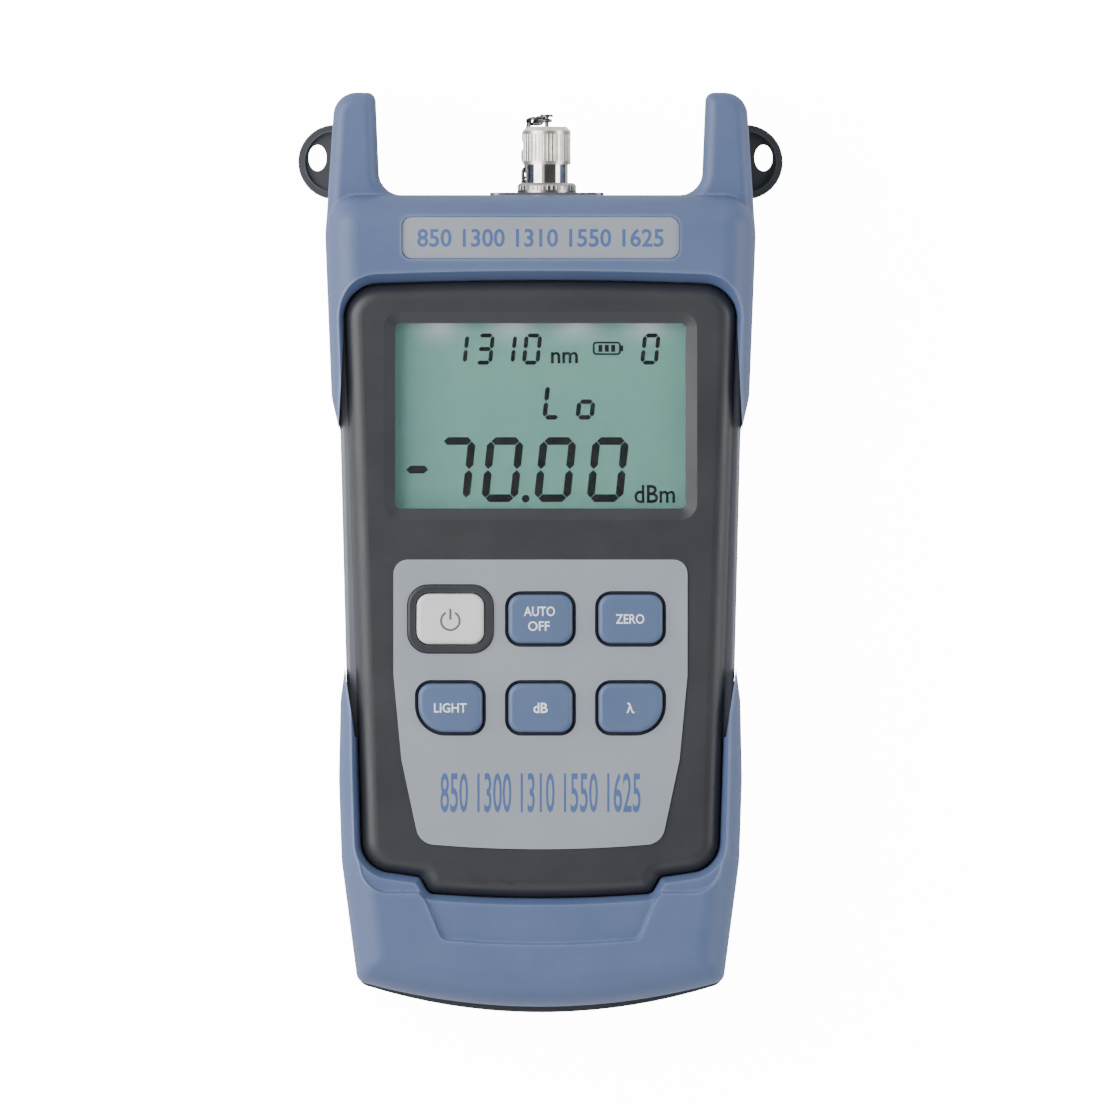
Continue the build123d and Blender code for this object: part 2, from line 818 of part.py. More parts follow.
def segment_points(letter, width, height, stroke):
    """Corners of one bar of a digit whose middle is at zero."""
    x = width / 2 - stroke / 2
    y = height / 2 - stroke / 2
    h = stroke / 2
    s = segment_split / 2
    bars = {
        "a": [(-x, y), (x, y)],
        "g": [(-x, 0), (x, 0)],
        "d": [(-x, -y), (x, -y)],
        "b": [(x, 0), (x, y)],
        "c": [(x, -y), (x, 0)],
        "f": [(-x, 0), (-x, y)],
        "e": [(-x, -y), (-x, 0)],
    }
    (x0, y0), (x1, y1) = bars[letter]
    if y0 == y1:
        return [
            (x0 + s, y0), (x0 + s + h, y0 + h), (x1 - s - h, y1 + h),
            (x1 - s, y1), (x1 - s - h, y1 - h), (x0 + s + h, y0 - h),
        ]
    return [
        (x0, y0 + s), (x0 + h, y0 + s + h), (x1 + h, y1 - s - h),
        (x1, y1 - s), (x1 - h, y1 - s - h), (x0 - h, y0 + s + h),
    ]


# Each digit: its sign, and where it stands from the middle as shares of the window's width and height
display_digit_shares = [
    ("1", -0.28, 0.361, "small"),
    ("3", -0.192, 0.361, "small"),
    ("1", -0.115, 0.361, "small"),
    ("0", -0.029, 0.361, "small"),
    ("0", 0.379, 0.361, "small"),
    ("L", 0.044, 0.077, "middle"),
    ("o", 0.158, 0.077, "middle"),
    ("-", -0.425, -0.29, "big"),
    ("7", -0.296, -0.29, "big"),
    ("0", -0.131, -0.29, "big"),
    ("0", 0.051, -0.29, "big"),
    ("0", 0.232, -0.29, "big"),
]
point_shares = (-0.051, -0.447)
digit_sizes = {
    "small": (small_digit_width, small_digit_height, small_stroke),
    "middle": (middle_digit_width, middle_digit_height, middle_stroke),
    "big": (big_digit_width, big_digit_height, big_stroke),
}
lean = math.tan(math.radians(digit_lean))

with BuildPart() as lcd_segments:
    with BuildSketch(Plane.XY.offset(glass_top)) as segment_faces:
        for sign, x_share, y_share, size in display_digit_shares:
            x = x_share * window_width
            y = window_y + y_share * window_height
            width, height, stroke = digit_sizes[size]
            if sign == "-":
                width = width * minus_share
            for letter in segments_of[sign]:
                corners = segment_points(letter, width, height, stroke)
                leaning = [(x + px + lean * py, y + py) for px, py in corners]
                with BuildLine():
                    Polyline(*leaning, close=True)
                make_face()
        point_x = point_shares[0] * window_width
        point_y = window_y + point_shares[1] * window_height
        with Locations((point_x, point_y)):
            Circle(big_stroke / 2)
    extrude(amount=segment_thick)
lcd_segments.part.label = "lcd_segments"
export_step(lcd_segments.part, "parts/lcd_segments.step")

# Main board with its parts
with BuildPart() as main_board:
    with BuildSketch(Plane.XY.offset(board_z)) as board_face:
        with Locations((0, (board_top_y + board_foot_y) / 2)):
            RectangleRounded(board_width, board_top_y - board_foot_y, key_corner)
        with Locations(*board_screw_places):
            Circle(board_screw / 2 + screw_clear, mode=Mode.SUBTRACT)
    extrude(amount=-board_thick)
main_board.part.label = "main_board"
export_step(main_board.part, "parts/main_board.step")

with BuildPart() as board_chips:
    with Locations((-chip_size, window_y, board_z - board_thick)):
        Box(chip_size, chip_size, chip_thick, align=(Align.CENTER, Align.CENTER, Align.MAX))
    with Locations((chip_size, window_y, board_z - board_thick)):
        with GridLocations(2 * amplifier_width, 2 * amplifier_height, 2, 2):
            Box(
                amplifier_width,
                amplifier_height,
                chip_thick,
                align=(Align.CENTER, Align.CENTER, Align.MAX),
            )
board_chips.part.label = "board_chips"
export_step(board_chips.part, "parts/board_chips.step")

with BuildPart() as board_capacitors:
    with Locations((0, board_top_y - capacitor, board_z - board_thick)):
        with GridLocations(2 * capacitor, 0, 3, 1):
            Cylinder(
                capacitor / 2, capacitor_length, align=(Align.CENTER, Align.CENTER, Align.MAX)
            )
board_capacitors.part.label = "board_capacitors"
export_step(board_capacitors.part, "parts/board_capacitors.step")

board_screw_length = board_thick + front_z - wall - board_z - screw_clear
with BuildPart() as board_screws:
    for place in board_screw_places:
        with BuildSketch(Plane.XY.offset(board_z - board_thick)) as board_shank:
            with Locations(place):
                Circle(board_screw / 2)
        extrude(amount=board_screw_length)
        with BuildSketch(Plane.XY.offset(board_z - board_thick)) as board_head_face:
            with Locations(place):
                Circle(board_head / 2)
                RegularPolygon(board_socket, 6, mode=Mode.SUBTRACT)
        extrude(amount=-board_head_thick)
board_screws.part.label = "board_screws"
export_step(board_screws.part, "parts/board_screws.step")

# Bumpers: a rounded block each, with the case, the panel opening and the arms cut out
bumper_top_points = [
    (0, y_end),
    (top_width / 2 - shoulder_slant, y_end),
    (top_width / 2, y_shoulder),
    (arm_knee_width / 2, y_end - arm_knee_drop),
    (shell_half(y_end - arm_tip_drop) + arm_tip_wall, y_end - arm_tip_drop),
    (shell_half(y_foot + low_tip_rise), y_foot + low_tip_rise),
    (0, y_foot + low_tip_rise),
]
bumper_low_points = [
    (0, y_end - arm_tip_drop),
    (shell_half(y_end - arm_tip_drop), y_end - arm_tip_drop),
    (shell_half(y_foot + low_tip_rise) + arm_tip_wall, y_foot + low_tip_rise),
    (low_knee_width / 2, y_foot + low_knee_rise),
    (lower_width / 2, y_foot + low_wide_rise),
    (low_taper_width / 2, y_foot + low_taper_rise),
    (foot_width / 2, bumper_corner_y),
]


# Room that both bumpers leave for the case and for the flared opening round the panel
flare_angle = math.degrees(math.atan(opening_flare / (brow_height - panel_height / 2)))
with BuildPart() as bumper_room:
    with BuildSketch(Plane.XY.offset(rear_depth - overrun)) as case_room:
        with BuildLine():
            foot_outline(case_points, case_radii, case_foot)
        make_face()
        offset(amount=fit_gap)
    extrude(amount=front_z + fit_gap - rear_depth + overrun)
    with BuildSketch(Plane.XY.offset(front_z - overrun)) as panel_room:
        with BuildLine():
            arched_outline(panel_points, panel_radii, panel_foot_y, panel_top_y)
        make_face()
        fillet(panel_room.vertices().group_by(Axis.Y)[-1], radius=panel_corner_round)
        fillet(panel_room.vertices().group_by(Axis.Y)[0], radius=panel_foot_round)
        offset(amount=opening_gap)
    extrude(amount=brow_height + 2 * overrun)
    with BuildSketch(Plane.XY.offset(front_z + panel_height / 2)) as panel_flare:
        with BuildLine():
            arched_outline(panel_points, panel_radii, panel_foot_y, panel_top_y)
        make_face()
        fillet(panel_flare.vertices().group_by(Axis.Y)[-1], radius=panel_corner_round)
        fillet(panel_flare.vertices().group_by(Axis.Y)[0], radius=panel_foot_round)
        offset(amount=opening_gap)
    extrude(amount=brow_height, taper=-flare_angle)

# Horns on either side of the port, lower than the crown of the bumper
with BuildPart() as horn_block:
    with BuildSketch(Plane.XY.offset(rear_depth)) as horns:
        with BuildLine():
            outline(
                horn_points
                + [
                    (top_width / 2 - edge_round, y_end - horn_overlap),
                    (0, y_end - horn_overlap),
                ],
                horn_radii + [edge_round, 0],
            )
        make_face()
    extrude(amount=front_z - rear_depth)
    horn_rims = horn_block.faces().sort_by(Axis.Z)[-1].outer_wire().edges()
    horn_rims = horn_rims.filter_by(lambda edge: edge.center().Y > y_shoulder)
    fillet(horn_rims, radius=horn_edge_round)

# Upper bumper
arm_root_y = y_end - arm_root_drop
arm_tip_y = y_end - arm_tip_drop
low_tip_y = y_foot + low_tip_rise
low_root_y = y_foot + low_root_rise
name_y = y_end - name_drop
with BuildPart() as top_bumper:
    with BuildSketch(Plane.XY.offset(rear_depth)) as top_block:
        with BuildLine():
            outline(
                bumper_top_points,
                [edge_round, edge_round, knee_round, edge_round, 0],
            )
        make_face()
    extrude(amount=case_depth - rear_depth)
    crown = top_bumper.faces().sort_by(Axis.Z)[-1].outer_wire().edges()
    fillet(crown.sort_by(Axis.Y)[1:], radius=edge_round)
    add(horn_block.part)
    add(bumper_room.part, mode=Mode.SUBTRACT)
    with BuildSketch(Plane.XY.offset(rear_depth - overrun)) as between_arms:
        with BuildLine():
            Polyline(
                (0, arm_root_y),
                (shell_half(arm_root_y) - rim, arm_root_y),
                (shell_half(arm_tip_y) + arm_tip_wall, arm_tip_y),
                (top_width, arm_tip_y),
                (top_width, low_tip_y - overrun),
                (0, low_tip_y - overrun),
            )
            mirror(about=Plane.YZ)
        make_face()
    extrude(amount=case_depth, mode=Mode.SUBTRACT)
    with BuildSketch(Plane.XY.offset(case_depth - name_recess)) as name_recess_face:
        with Locations((0, name_y)):
            RectangleRounded(name_width + 2 * fit_gap, name_height + 2 * fit_gap, name_corner)
    extrude(amount=brow_height, mode=Mode.SUBTRACT)
    with BuildSketch(port_plane(y_wall - overrun)) as port_slot:
        Rectangle(port_plate_width + 2 * fit_gap, port_plate_height + 2 * fit_gap)
    extrude(amount=2 * overrun + end_cover, mode=Mode.SUBTRACT)
top_bumper.part.label = "top_bumper"
export_step(top_bumper.part, "parts/top_bumper.step")

# Lower bumper, with the thumb recess under the panel
thumb_top_y = panel_foot_y + thumb_overlap
shelf_y = y_foot + shelf_rise
with BuildPart() as bottom_bumper:
    with BuildSketch(Plane.XY.offset(rear_depth)) as low_block:
        with BuildLine():
            foot_outline(
                bumper_low_points,
                [0, edge_round, edge_round, knee_round, foot_side_round],
                bumper_foot,
            )
        make_face()
        fillet(low_block.vertices().group_by(Axis.Y)[0], radius=foot_corner_round)
    extrude(amount=case_depth - rear_depth)
    crown = bottom_bumper.faces().sort_by(Axis.Z)[-1].outer_wire().edges()
    fillet(crown.sort_by(Axis.Y)[:-1], radius=edge_round)
    add(bumper_room.part, mode=Mode.SUBTRACT)
    with BuildSketch(Plane.XY.offset(rear_depth - overrun)) as between_low_arms:
        with BuildLine():
            Polyline(
                (0, low_root_y),
                (shell_half(low_root_y) - rim, low_root_y),
                (shell_half(low_tip_y) + arm_tip_wall, low_tip_y),
                (top_width, low_tip_y),
                (top_width, arm_tip_y + overrun),
                (0, arm_tip_y + overrun),
            )
            mirror(about=Plane.YZ)
        make_face()
    extrude(amount=case_depth, mode=Mode.SUBTRACT)
    with BuildSketch(Plane.XY.offset(case_depth - thumb_depth)) as panel_shelf:
        with BuildLine():
            outline(
                [
                    (0, shelf_y + shelf_length),
                    (shelf_top_width / 2, shelf_y + shelf_length),
                    (shelf_foot_width / 2, shelf_y),
                    (0, shelf_y),
                ],
                [shelf_round, shelf_round],
            )
        make_face()
    extrude(amount=brow_height, taper=-flare_angle, mode=Mode.SUBTRACT)
    with BuildSketch(Plane.XY.offset(case_depth - thumb_depth)) as thumb_recess:
        with BuildLine():
            foot_outline(
                [
                    (0, thumb_top_y),
                    (thumb_top_width / 2, thumb_top_y),
                    (thumb_foot_width / 2, thumb_top_y - thumb_length),
                ],
                [0],
                thumb_top_y - thumb_length - thumb_sag,
            )
        make_face()
        fillet(thumb_recess.vertices().group_by(Axis.Y)[0], radius=thumb_round)
    extrude(amount=brow_height, taper=-flare_angle, mode=Mode.SUBTRACT)
bottom_bumper.part.label = "bottom_bumper"
export_step(bottom_bumper.part, "parts/bottom_bumper.step")

# Bare name plate, let into the upper bumper
with BuildPart() as name_plate:
    with BuildSketch(Plane.XY.offset(case_depth - name_recess)) as name_face:
        with Locations((0, name_y)):
            RectangleRounded(name_width, name_height, name_corner)
    extrude(amount=name_thick)
name_plate.part.label = "name_plate"
export_step(name_plate.part, "parts/name_plate.step")

# End plate that carries the optical adapter
with BuildPart() as port_plate:
    with BuildSketch(port_plane(y_wall)) as port_plate_face:
        RectangleRounded(port_plate_width, port_plate_height, port_plate_corner)
        Circle(barrel / 2 + fit_gap, mode=Mode.SUBTRACT)
    extrude(amount=y_port - y_wall)
port_plate.part.label = "port_plate"
export_step(port_plate.part, "parts/port_plate.step")

# Optical adapter: threaded barrel, flange behind the end plate, and a tail for the detector
tail_y = y_wall - flange_thick - port_tail_length
sleeve_outer = ferrule + 2 * sleeve_wall
barrel_y = y_port + barrel_length
with BuildPart() as optical_adapter:
    with BuildSketch(port_plane(y_wall - flange_thick)) as flange_face:
        Circle(flange / 2)
    extrude(amount=flange_thick)
    with BuildSketch(port_plane(y_wall)) as barrel_face:
        Circle(barrel / 2)
    extrude(amount=barrel_y - y_wall)
    with BuildSketch(port_plane(tail_y)) as tail_face:
        Circle(port_tail / 2)
    extrude(amount=port_tail_length)
    with BuildSketch(port_plane(tail_y)) as ferrule_way:
        Circle(ferrule / 2 + sleeve_wall / 2)
    extrude(amount=barrel_y - tail_y, mode=Mode.SUBTRACT)
    with BuildSketch(port_plane(barrel_y - sleeve_length)) as sleeve_way:
        Circle(sleeve_outer / 2 + cap_fit)
    extrude(amount=sleeve_length, mode=Mode.SUBTRACT)
    with BuildSketch(port_plane(tail_y)) as detector_seat:
        Circle(detector_rim / 2 + cap_fit)
    extrude(amount=detector_length + detector_rim_thick, mode=Mode.SUBTRACT)
optical_adapter.part.label = "optical_adapter"
export_step(optical_adapter.part, "parts/optical_adapter.step")

# Ceramic sleeve that a plug's ferrule slides into
with BuildPart() as ferrule_sleeve:
    with BuildSketch(port_plane(barrel_y - sleeve_length)) as sleeve_face:
        Circle(sleeve_outer / 2)
        Circle(ferrule / 2 + screw_fit / 2, mode=Mode.SUBTRACT)
    extrude(amount=sleeve_length - sleeve_wall)
ferrule_sleeve.part.label = "ferrule_sleeve"
export_step(ferrule_sleeve.part, "parts/ferrule_sleeve.step")

# Photodiode in a small metal can, with three leads
with BuildPart() as photodiode:
    with BuildSketch(port_plane(tail_y)) as detector_rim_face:
        Circle(detector_rim / 2)
    extrude(amount=detector_rim_thick)
    with BuildSketch(port_plane(tail_y)) as detector_face:
        Circle(detector / 2)
    extrude(amount=detector_length)
    with BuildSketch(port_plane(tail_y)) as lead_faces:
        with PolarLocations(lead_circle, 3):
            Circle(lead / 2)
    extrude(amount=-lead_length)
photodiode.part.label = "photodiode"
export_step(photodiode.part, "parts/photodiode.step")

# Ring with an upright eye for the chain, held under the knurled base nut
tab_cos = math.cos(math.radians(ring_tab_angle))
tab_sin = math.sin(math.radians(ring_tab_angle))
tab_radius = nut_width / 2 + ring_tab_gap
tab_hole_y = y_port + ring_thick + nut_thick + link_wire


def beside_port(radius, y):
    """Point on the chain's side of the port, at a distance from its axis."""
    return (port_x + radius * tab_cos, y, port_z - radius * tab_sin)


tab_plane = Plane(
    origin=beside_port(tab_radius, tab_hole_y), x_dir=(0, 1, 0), z_dir=(tab_cos, 0, -tab_sin)
)
with BuildPart() as chain_ring:
    with BuildSketch(port_plane(y_port)) as chain_ring_face:
        Circle(nut_width / 2)
        with PolarLocations(nut_width / 2, 1, start_angle=ring_tab_angle):
            Rectangle(2 * (ring_tab_gap + ring_thick), ring_tab_width)
        Circle(barrel / 2 + fit_gap, mode=Mode.SUBTRACT)
    extrude(amount=ring_thick)
    with BuildSketch(tab_plane) as tab_face:
        with Locations(((y_port - tab_hole_y) / 2, 0)):
            Rectangle(tab_hole_y - y_port, ring_tab_width)
        Circle(ring_tab_width / 2)
        Circle(ring_tab_width / 2 - link_wire, mode=Mode.SUBTRACT)
    extrude(amount=ring_thick)
chain_ring.part.label = "chain_ring"
export_step(chain_ring.part, "parts/chain_ring.step")

with BuildPart() as base_nut:
    with BuildSketch(port_plane(y_port + ring_thick)) as nut_face:
        Circle(nut_width / 2)
        Circle(barrel / 2 + fit_gap, mode=Mode.SUBTRACT)
    extrude(amount=nut_thick)
    nut_rims = base_nut.edges().filter_by(GeomType.CIRCLE).group_by(Axis.Y)[-1]
    fillet(nut_rims.sort_by(SortBy.LENGTH)[-1], radius=nut_round)
    with BuildSketch(port_plane(y_port + ring_thick)) as nut_knurls:
        with PolarLocations(nut_width / 2 + knurl_width / 4, knurl_count):
            Circle(knurl_width / 2)
    extrude(amount=nut_thick, mode=Mode.SUBTRACT)
base_nut.part.label = "base_nut"
export_step(base_nut.part, "parts/base_nut.step")

# Dust cap: knurled, screwed over the barrel, with a seal inside and a rivet through its top
cap_floor = barrel_y + seal_thick + screw_clear
cap_top_y = cap_floor + cap_top
cap_open_y = cap_top_y - cap_length
with BuildPart() as dust_cap:
    with BuildSketch(port_plane(cap_open_y)) as cap_face:
        Circle(cap / 2)
    extrude(amount=cap_length)
    chamfer(dust_cap.edges().sort_by(Axis.Y)[-1], length=cap_chamfer)
    with BuildSketch(port_plane(cap_open_y + cap_top / 2)) as cap_knurls:
        with PolarLocations(cap / 2 + knurl_width / 4, knurl_count):
            Circle(knurl_width / 2)
    extrude(amount=cap_length - cap_top - cap_chamfer, mode=Mode.SUBTRACT)
    with BuildSketch(port_plane(cap_open_y)) as cap_room:
        Circle(barrel / 2 + cap_fit)
    extrude(amount=cap_floor - cap_open_y, mode=Mode.SUBTRACT)
    with BuildSketch(port_plane(cap_floor)) as rivet_hole:
        Circle(rivet / 2 + rivet_fit)
    extrude(amount=cap_top, mode=Mode.SUBTRACT)
    with BuildSketch(port_plane(cap_floor)) as rivet_sink_face:
        Circle(rivet_head / 2 + rivet_fit)
    extrude(amount=rivet_sink, mode=Mode.SUBTRACT)
dust_cap.part.label = "dust_cap"
export_step(dust_cap.part, "parts/dust_cap.step")

with BuildPart() as cap_seal:
    with BuildSketch(port_plane(cap_floor)) as seal_face:
        Circle(barrel / 2 - fit_gap)
    extrude(amount=-seal_thick)
cap_seal.part.label = "cap_seal"
export_step(cap_seal.part, "parts/cap_seal.step")

# Rivet that lets the cap turn without twisting the chain
with BuildPart() as cap_rivet:
    with BuildSketch(port_plane(cap_floor + rivet_fit)) as rivet_foot_face:
        Circle(rivet_head / 2)
    extrude(amount=rivet_head_thick)
    with BuildSketch(port_plane(cap_floor + rivet_fit)) as rivet_stem_face:
        Circle(rivet / 2)
    extrude(amount=cap_top + rivet_rise - rivet_fit)
    with BuildSketch(port_plane(cap_top_y + rivet_rise)) as rivet_head_face:
        Circle(rivet_head / 2)
    extrude(amount=-rivet_head_thick)
    head_rim = cap_rivet.edges().filter_by(GeomType.CIRCLE).group_by(Axis.Y)[-1]
    fillet(head_rim.sort_by(SortBy.LENGTH)[-1], radius=rivet_head_thick / 3)
cap_rivet.part.label = "cap_rivet"
export_step(cap_rivet.part, "parts/cap_rivet.step")

# Link chain from the rivet, over the cap's edge and down beside the neck to the ring's eye
link_end = link_straight / 2 + link_round
link_inner = 2 * link_end - link_wire
chain_y = cap_top_y + link_round + link_wire
with BuildPart() as link:
    with BuildLine() as link_path:
        Line((-link_straight / 2, link_round), (link_straight / 2, link_round))
        CenterArc((link_straight / 2, 0), link_round, 90, -180)
        Line((link_straight / 2, -link_round), (-link_straight / 2, -link_round))
        CenterArc((-link_straight / 2, 0), link_round, 270, -180)
    with BuildSketch(Plane(origin=(0, link_round, 0), z_dir=(1, 0, 0))) as link_section:
        Circle(link_wire / 2)
    sweep(path=link_path.wire())

chain_start = link_inner / 2 - rivet / 2 - rivet_fit
chain_turn = cap / 2 + link_round + link_wire
chain_end = tab_radius + ring_thick / 2
with BuildLine(mode=Mode.PRIVATE) as chain_path:
    FilletPolyline(
        beside_port(chain_start, chain_y),
        beside_port(chain_turn, chain_y),
        beside_port(chain_end, tab_hole_y + link_end),
        radius=link_inner,
    )
chain_length = chain_path.wire().length
link_gaps = math.ceil(chain_length / (link_inner - link_slack))
link_gaps += 1 - link_gaps % 2
across = Vector(tab_sin, 0, tab_cos)
with BuildPart() as cap_chain:
    for i in range(link_gaps + 1):
        middle = chain_path.wire() @ (i / link_gaps)
        along = chain_path.wire() % (i / link_gaps)
        upright = along.cross(across) if i % 2 == 0 else across
        with Locations(Plane(origin=middle, x_dir=along, z_dir=upright)):
            add(link.part)
cap_chain.part.label = "cap_chain"
export_step(cap_chain.part, "parts/cap_chain.step")

# Three cells side by side, every second one turned round
cell_places = []
for i in (-1, 0, 1):
    cell_places.append((i * cell_pitch, 1 if i else -1))
for i, (cell_x, way) in enumerate(cell_places):
    nipple_y = tray_middle_y + way * (tray_length / 2 - contact_thick)
    cell_plane = Plane(origin=(cell_x, nipple_y, cell_z), x_dir=(1, 0, 0), z_dir=(0, -way, 0))
    with BuildPart() as battery_cell:
        with BuildSketch(cell_plane) as nipple_face:
            Circle(cell_nipple)
        extrude(amount=cell_nipple_length)
        with BuildSketch(cell_plane.offset(cell_nipple_length)) as cell_face:
            Circle(cell_radius)
        extrude(amount=cell_length)
        rims = battery_cell.edges().filter_by(GeomType.CIRCLE)
        rims = rims.filter_by(lambda edge: edge.radius > cell_nipple)
        fillet(rims, radius=cell_nipple_length / 2)
    battery_cell.part.label = "battery_cell_" + str(i + 1)
    export_step(battery_cell.part, "parts/battery_cell_" + str(i + 1) + ".step")

# Contact plates at both ends of each cell, and springs at the flat ends
with BuildPart() as battery_contacts:
    with Locations((0, tray_middle_y, cell_z)):
        with GridLocations(cell_pitch, tray_length - contact_thick, 3, 2):
            Box(contact_width, contact_thick, contact_width)
battery_contacts.part.label = "battery_contacts"
export_step(battery_contacts.part, "parts/battery_contacts.step")

spring_radius = contact_width / 2 - spring_wire
spring_length = tray_length - 2 * contact_thick - cell_nipple_length - cell_length - spring_wire
spring_parts = []
for cell_x, way in cell_places:
    flat_y = tray_middle_y - way * (tray_length / 2 - contact_thick - spring_wire / 2)
    with BuildPart() as spring:
        with BuildLine() as spring_path:
            Helix(
                pitch=spring_length / spring_turns,
                height=spring_length,
                radius=spring_radius,
                center=(cell_x, flat_y, cell_z),
                direction=(0, way, 0),
            )
        with BuildSketch(Plane(origin=spring_path.line @ 0, z_dir=spring_path.line % 0)):
            Circle(spring_wire / 2)
        sweep(is_frenet=True)
    spring_parts.append(spring.part)
with BuildPart() as battery_springs:
    for spring_part in spring_parts:
        add(spring_part)
battery_springs.part.label = "battery_springs"
export_step(battery_springs.part, "parts/battery_springs.step")

# Battery door: hooked in by two pins at its upper end, with finger grooves at the other
with BuildPart() as battery_door:
    with BuildSketch(Plane.XY.offset(door_sink)) as door_face:
        with Locations((0, tray_middle_y)):
            RectangleRounded(door_width, door_length, door_corner)
    extrude(amount=door_thick)
    hinge_edges = battery_door.edges().filter_by(Axis.X).group_by(Axis.Y)[-1]
    fillet(hinge_edges, radius=door_hinge_round)
    with BuildSketch(Plane.YZ) as door_pin_face:
        with Locations((door_axis_y, door_axis_z)):
            Circle(door_pin / 2)
    extrude(amount=door_width / 2 + door_pin_length, both=True)
    with BuildSketch(Plane.XY.offset(door_sink)) as door_grips:
        with Locations((0, tray_middle_y - door_length / 2 + door_grip_length)):
            with GridLocations(0, 2 * door_grip_width, 1, door_grip_count):
                SlotOverall(door_grip_length * 2, door_grip_width)
    extrude(amount=door_grip_depth, mode=Mode.SUBTRACT)
battery_door.part.label = "battery_door"
export_step(battery_door.part, "parts/battery_door.step")

# Housing screws, sunk into the back
with BuildPart() as housing_screws:
    for place in screw_places:
        with BuildSketch(Plane.XY.offset(screw_sink)) as screw_shank:
            with Locations(place):
                Circle(screw / 2)
        extrude(amount=rear_depth + screw_grip - screw_sink)
        with BuildSketch(Plane.XY.offset(screw_sink)) as screw_head_face:
            with Locations(place):
                Circle(screw_head / 2)
        extrude(amount=-screw_head_thick)
        with BuildSketch(Plane.XY.offset(screw_sink - screw_head_thick)) as screw_socket:
            with Locations(place):
                Rectangle(socket_width * 2, socket_width / 3)
                Rectangle(socket_width / 3, socket_width * 2)
        extrude(amount=socket_depth, mode=Mode.SUBTRACT)
housing_screws.part.label = "housing_screws"
export_step(housing_screws.part, "parts/housing_screws.step")
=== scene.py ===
# %% [markdown]
# A handheld optical power meter, lying on its back. The CAD model gives the shapes of its hard
# parts, and this script dresses them: rubber, painted and moulded plastic, metal, a lit display,
# the printed legends, the knurled cap and its chain. Everything is in metres.

# %% The frame
import bpy
import math
from mathutils import Matrix, Vector


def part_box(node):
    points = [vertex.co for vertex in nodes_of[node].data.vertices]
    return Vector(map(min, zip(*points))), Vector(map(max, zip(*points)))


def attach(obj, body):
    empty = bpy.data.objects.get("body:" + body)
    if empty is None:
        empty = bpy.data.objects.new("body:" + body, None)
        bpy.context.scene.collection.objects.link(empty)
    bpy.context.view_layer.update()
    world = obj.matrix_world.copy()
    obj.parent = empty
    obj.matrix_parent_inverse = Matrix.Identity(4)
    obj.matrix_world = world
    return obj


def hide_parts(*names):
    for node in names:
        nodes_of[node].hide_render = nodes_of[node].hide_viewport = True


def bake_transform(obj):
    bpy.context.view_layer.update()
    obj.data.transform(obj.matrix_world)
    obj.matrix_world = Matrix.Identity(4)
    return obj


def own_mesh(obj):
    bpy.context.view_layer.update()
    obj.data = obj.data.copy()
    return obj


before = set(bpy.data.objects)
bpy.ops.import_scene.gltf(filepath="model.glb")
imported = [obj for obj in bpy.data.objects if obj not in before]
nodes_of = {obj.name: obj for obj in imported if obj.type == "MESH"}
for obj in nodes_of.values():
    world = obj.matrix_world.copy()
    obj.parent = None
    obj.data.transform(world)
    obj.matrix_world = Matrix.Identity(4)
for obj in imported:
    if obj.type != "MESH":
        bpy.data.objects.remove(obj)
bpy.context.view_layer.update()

mm = 0.001

# %% [markdown]
# The camera looks straight down on the face, as the photograph does. A long lens far away keeps
# the sides upright. The lens is worked out from the width that the picture has to cover.

# %% Camera
view_width = 211.1 * mm
view_centre = (2.76 * mm, -0.4 * mm)
camera_height = 6.0
face_height = 20 * mm
sensor = 36.0
camera_data = bpy.data.cameras.new("camera")
camera_data.sensor_width = sensor
camera_data.lens = sensor * (camera_height - face_height) / view_width
camera = bpy.data.objects.new("camera", camera_data)
bpy.context.collection.objects.link(camera)
camera.location = (*view_centre, camera_height)
bpy.context.scene.camera = camera
print("lens", round(camera_data.lens, 1), "mm")

# %% [markdown]
# Soft light from both sides: a large sheet of light on the left, a weaker and more distant one on
# the right, and a faint one from the foot. Light from the sides leaves the upper and lower rims of
# the panel dark and draws a long highlight down its left edge.

# %% Light
def soft_light(name, place, size, power):
    """A square sheet of light that faces the meter at the origin."""
    data = bpy.data.lights.new(name, "AREA")
    data.shape = "SQUARE"
    data.size = size
    data.energy = power
    lamp = bpy.data.objects.new(name, data)
    bpy.context.collection.objects.link(lamp)
    lamp.location = place
    lamp.rotation_euler = (-Vector(place)).to_track_quat("-Z", "Y").to_euler()


soft_light("left_light", (-0.5, 0.16, 0.44), 0.55, 6.4)
soft_light("right_light", (0.92, 0.1, 0.45), 0.5, 4.2)
soft_light("foot_light", (-0.1, -0.9, 0.8), 0.5, 1.4)

# %% [markdown]
# A pale sky fills the shadows. Overhead it has a dark patch, as where a studio camera hangs: polished
# metal needs something dark to reflect, or it looks like white plastic.

# %% The sky with its dark patch
patch_way = (0.33, 0.0, 0.94)
patch_edge = math.radians(38)
patch_core = math.radians(30)
sky_strength = 0.98
patch_strength = 0.1

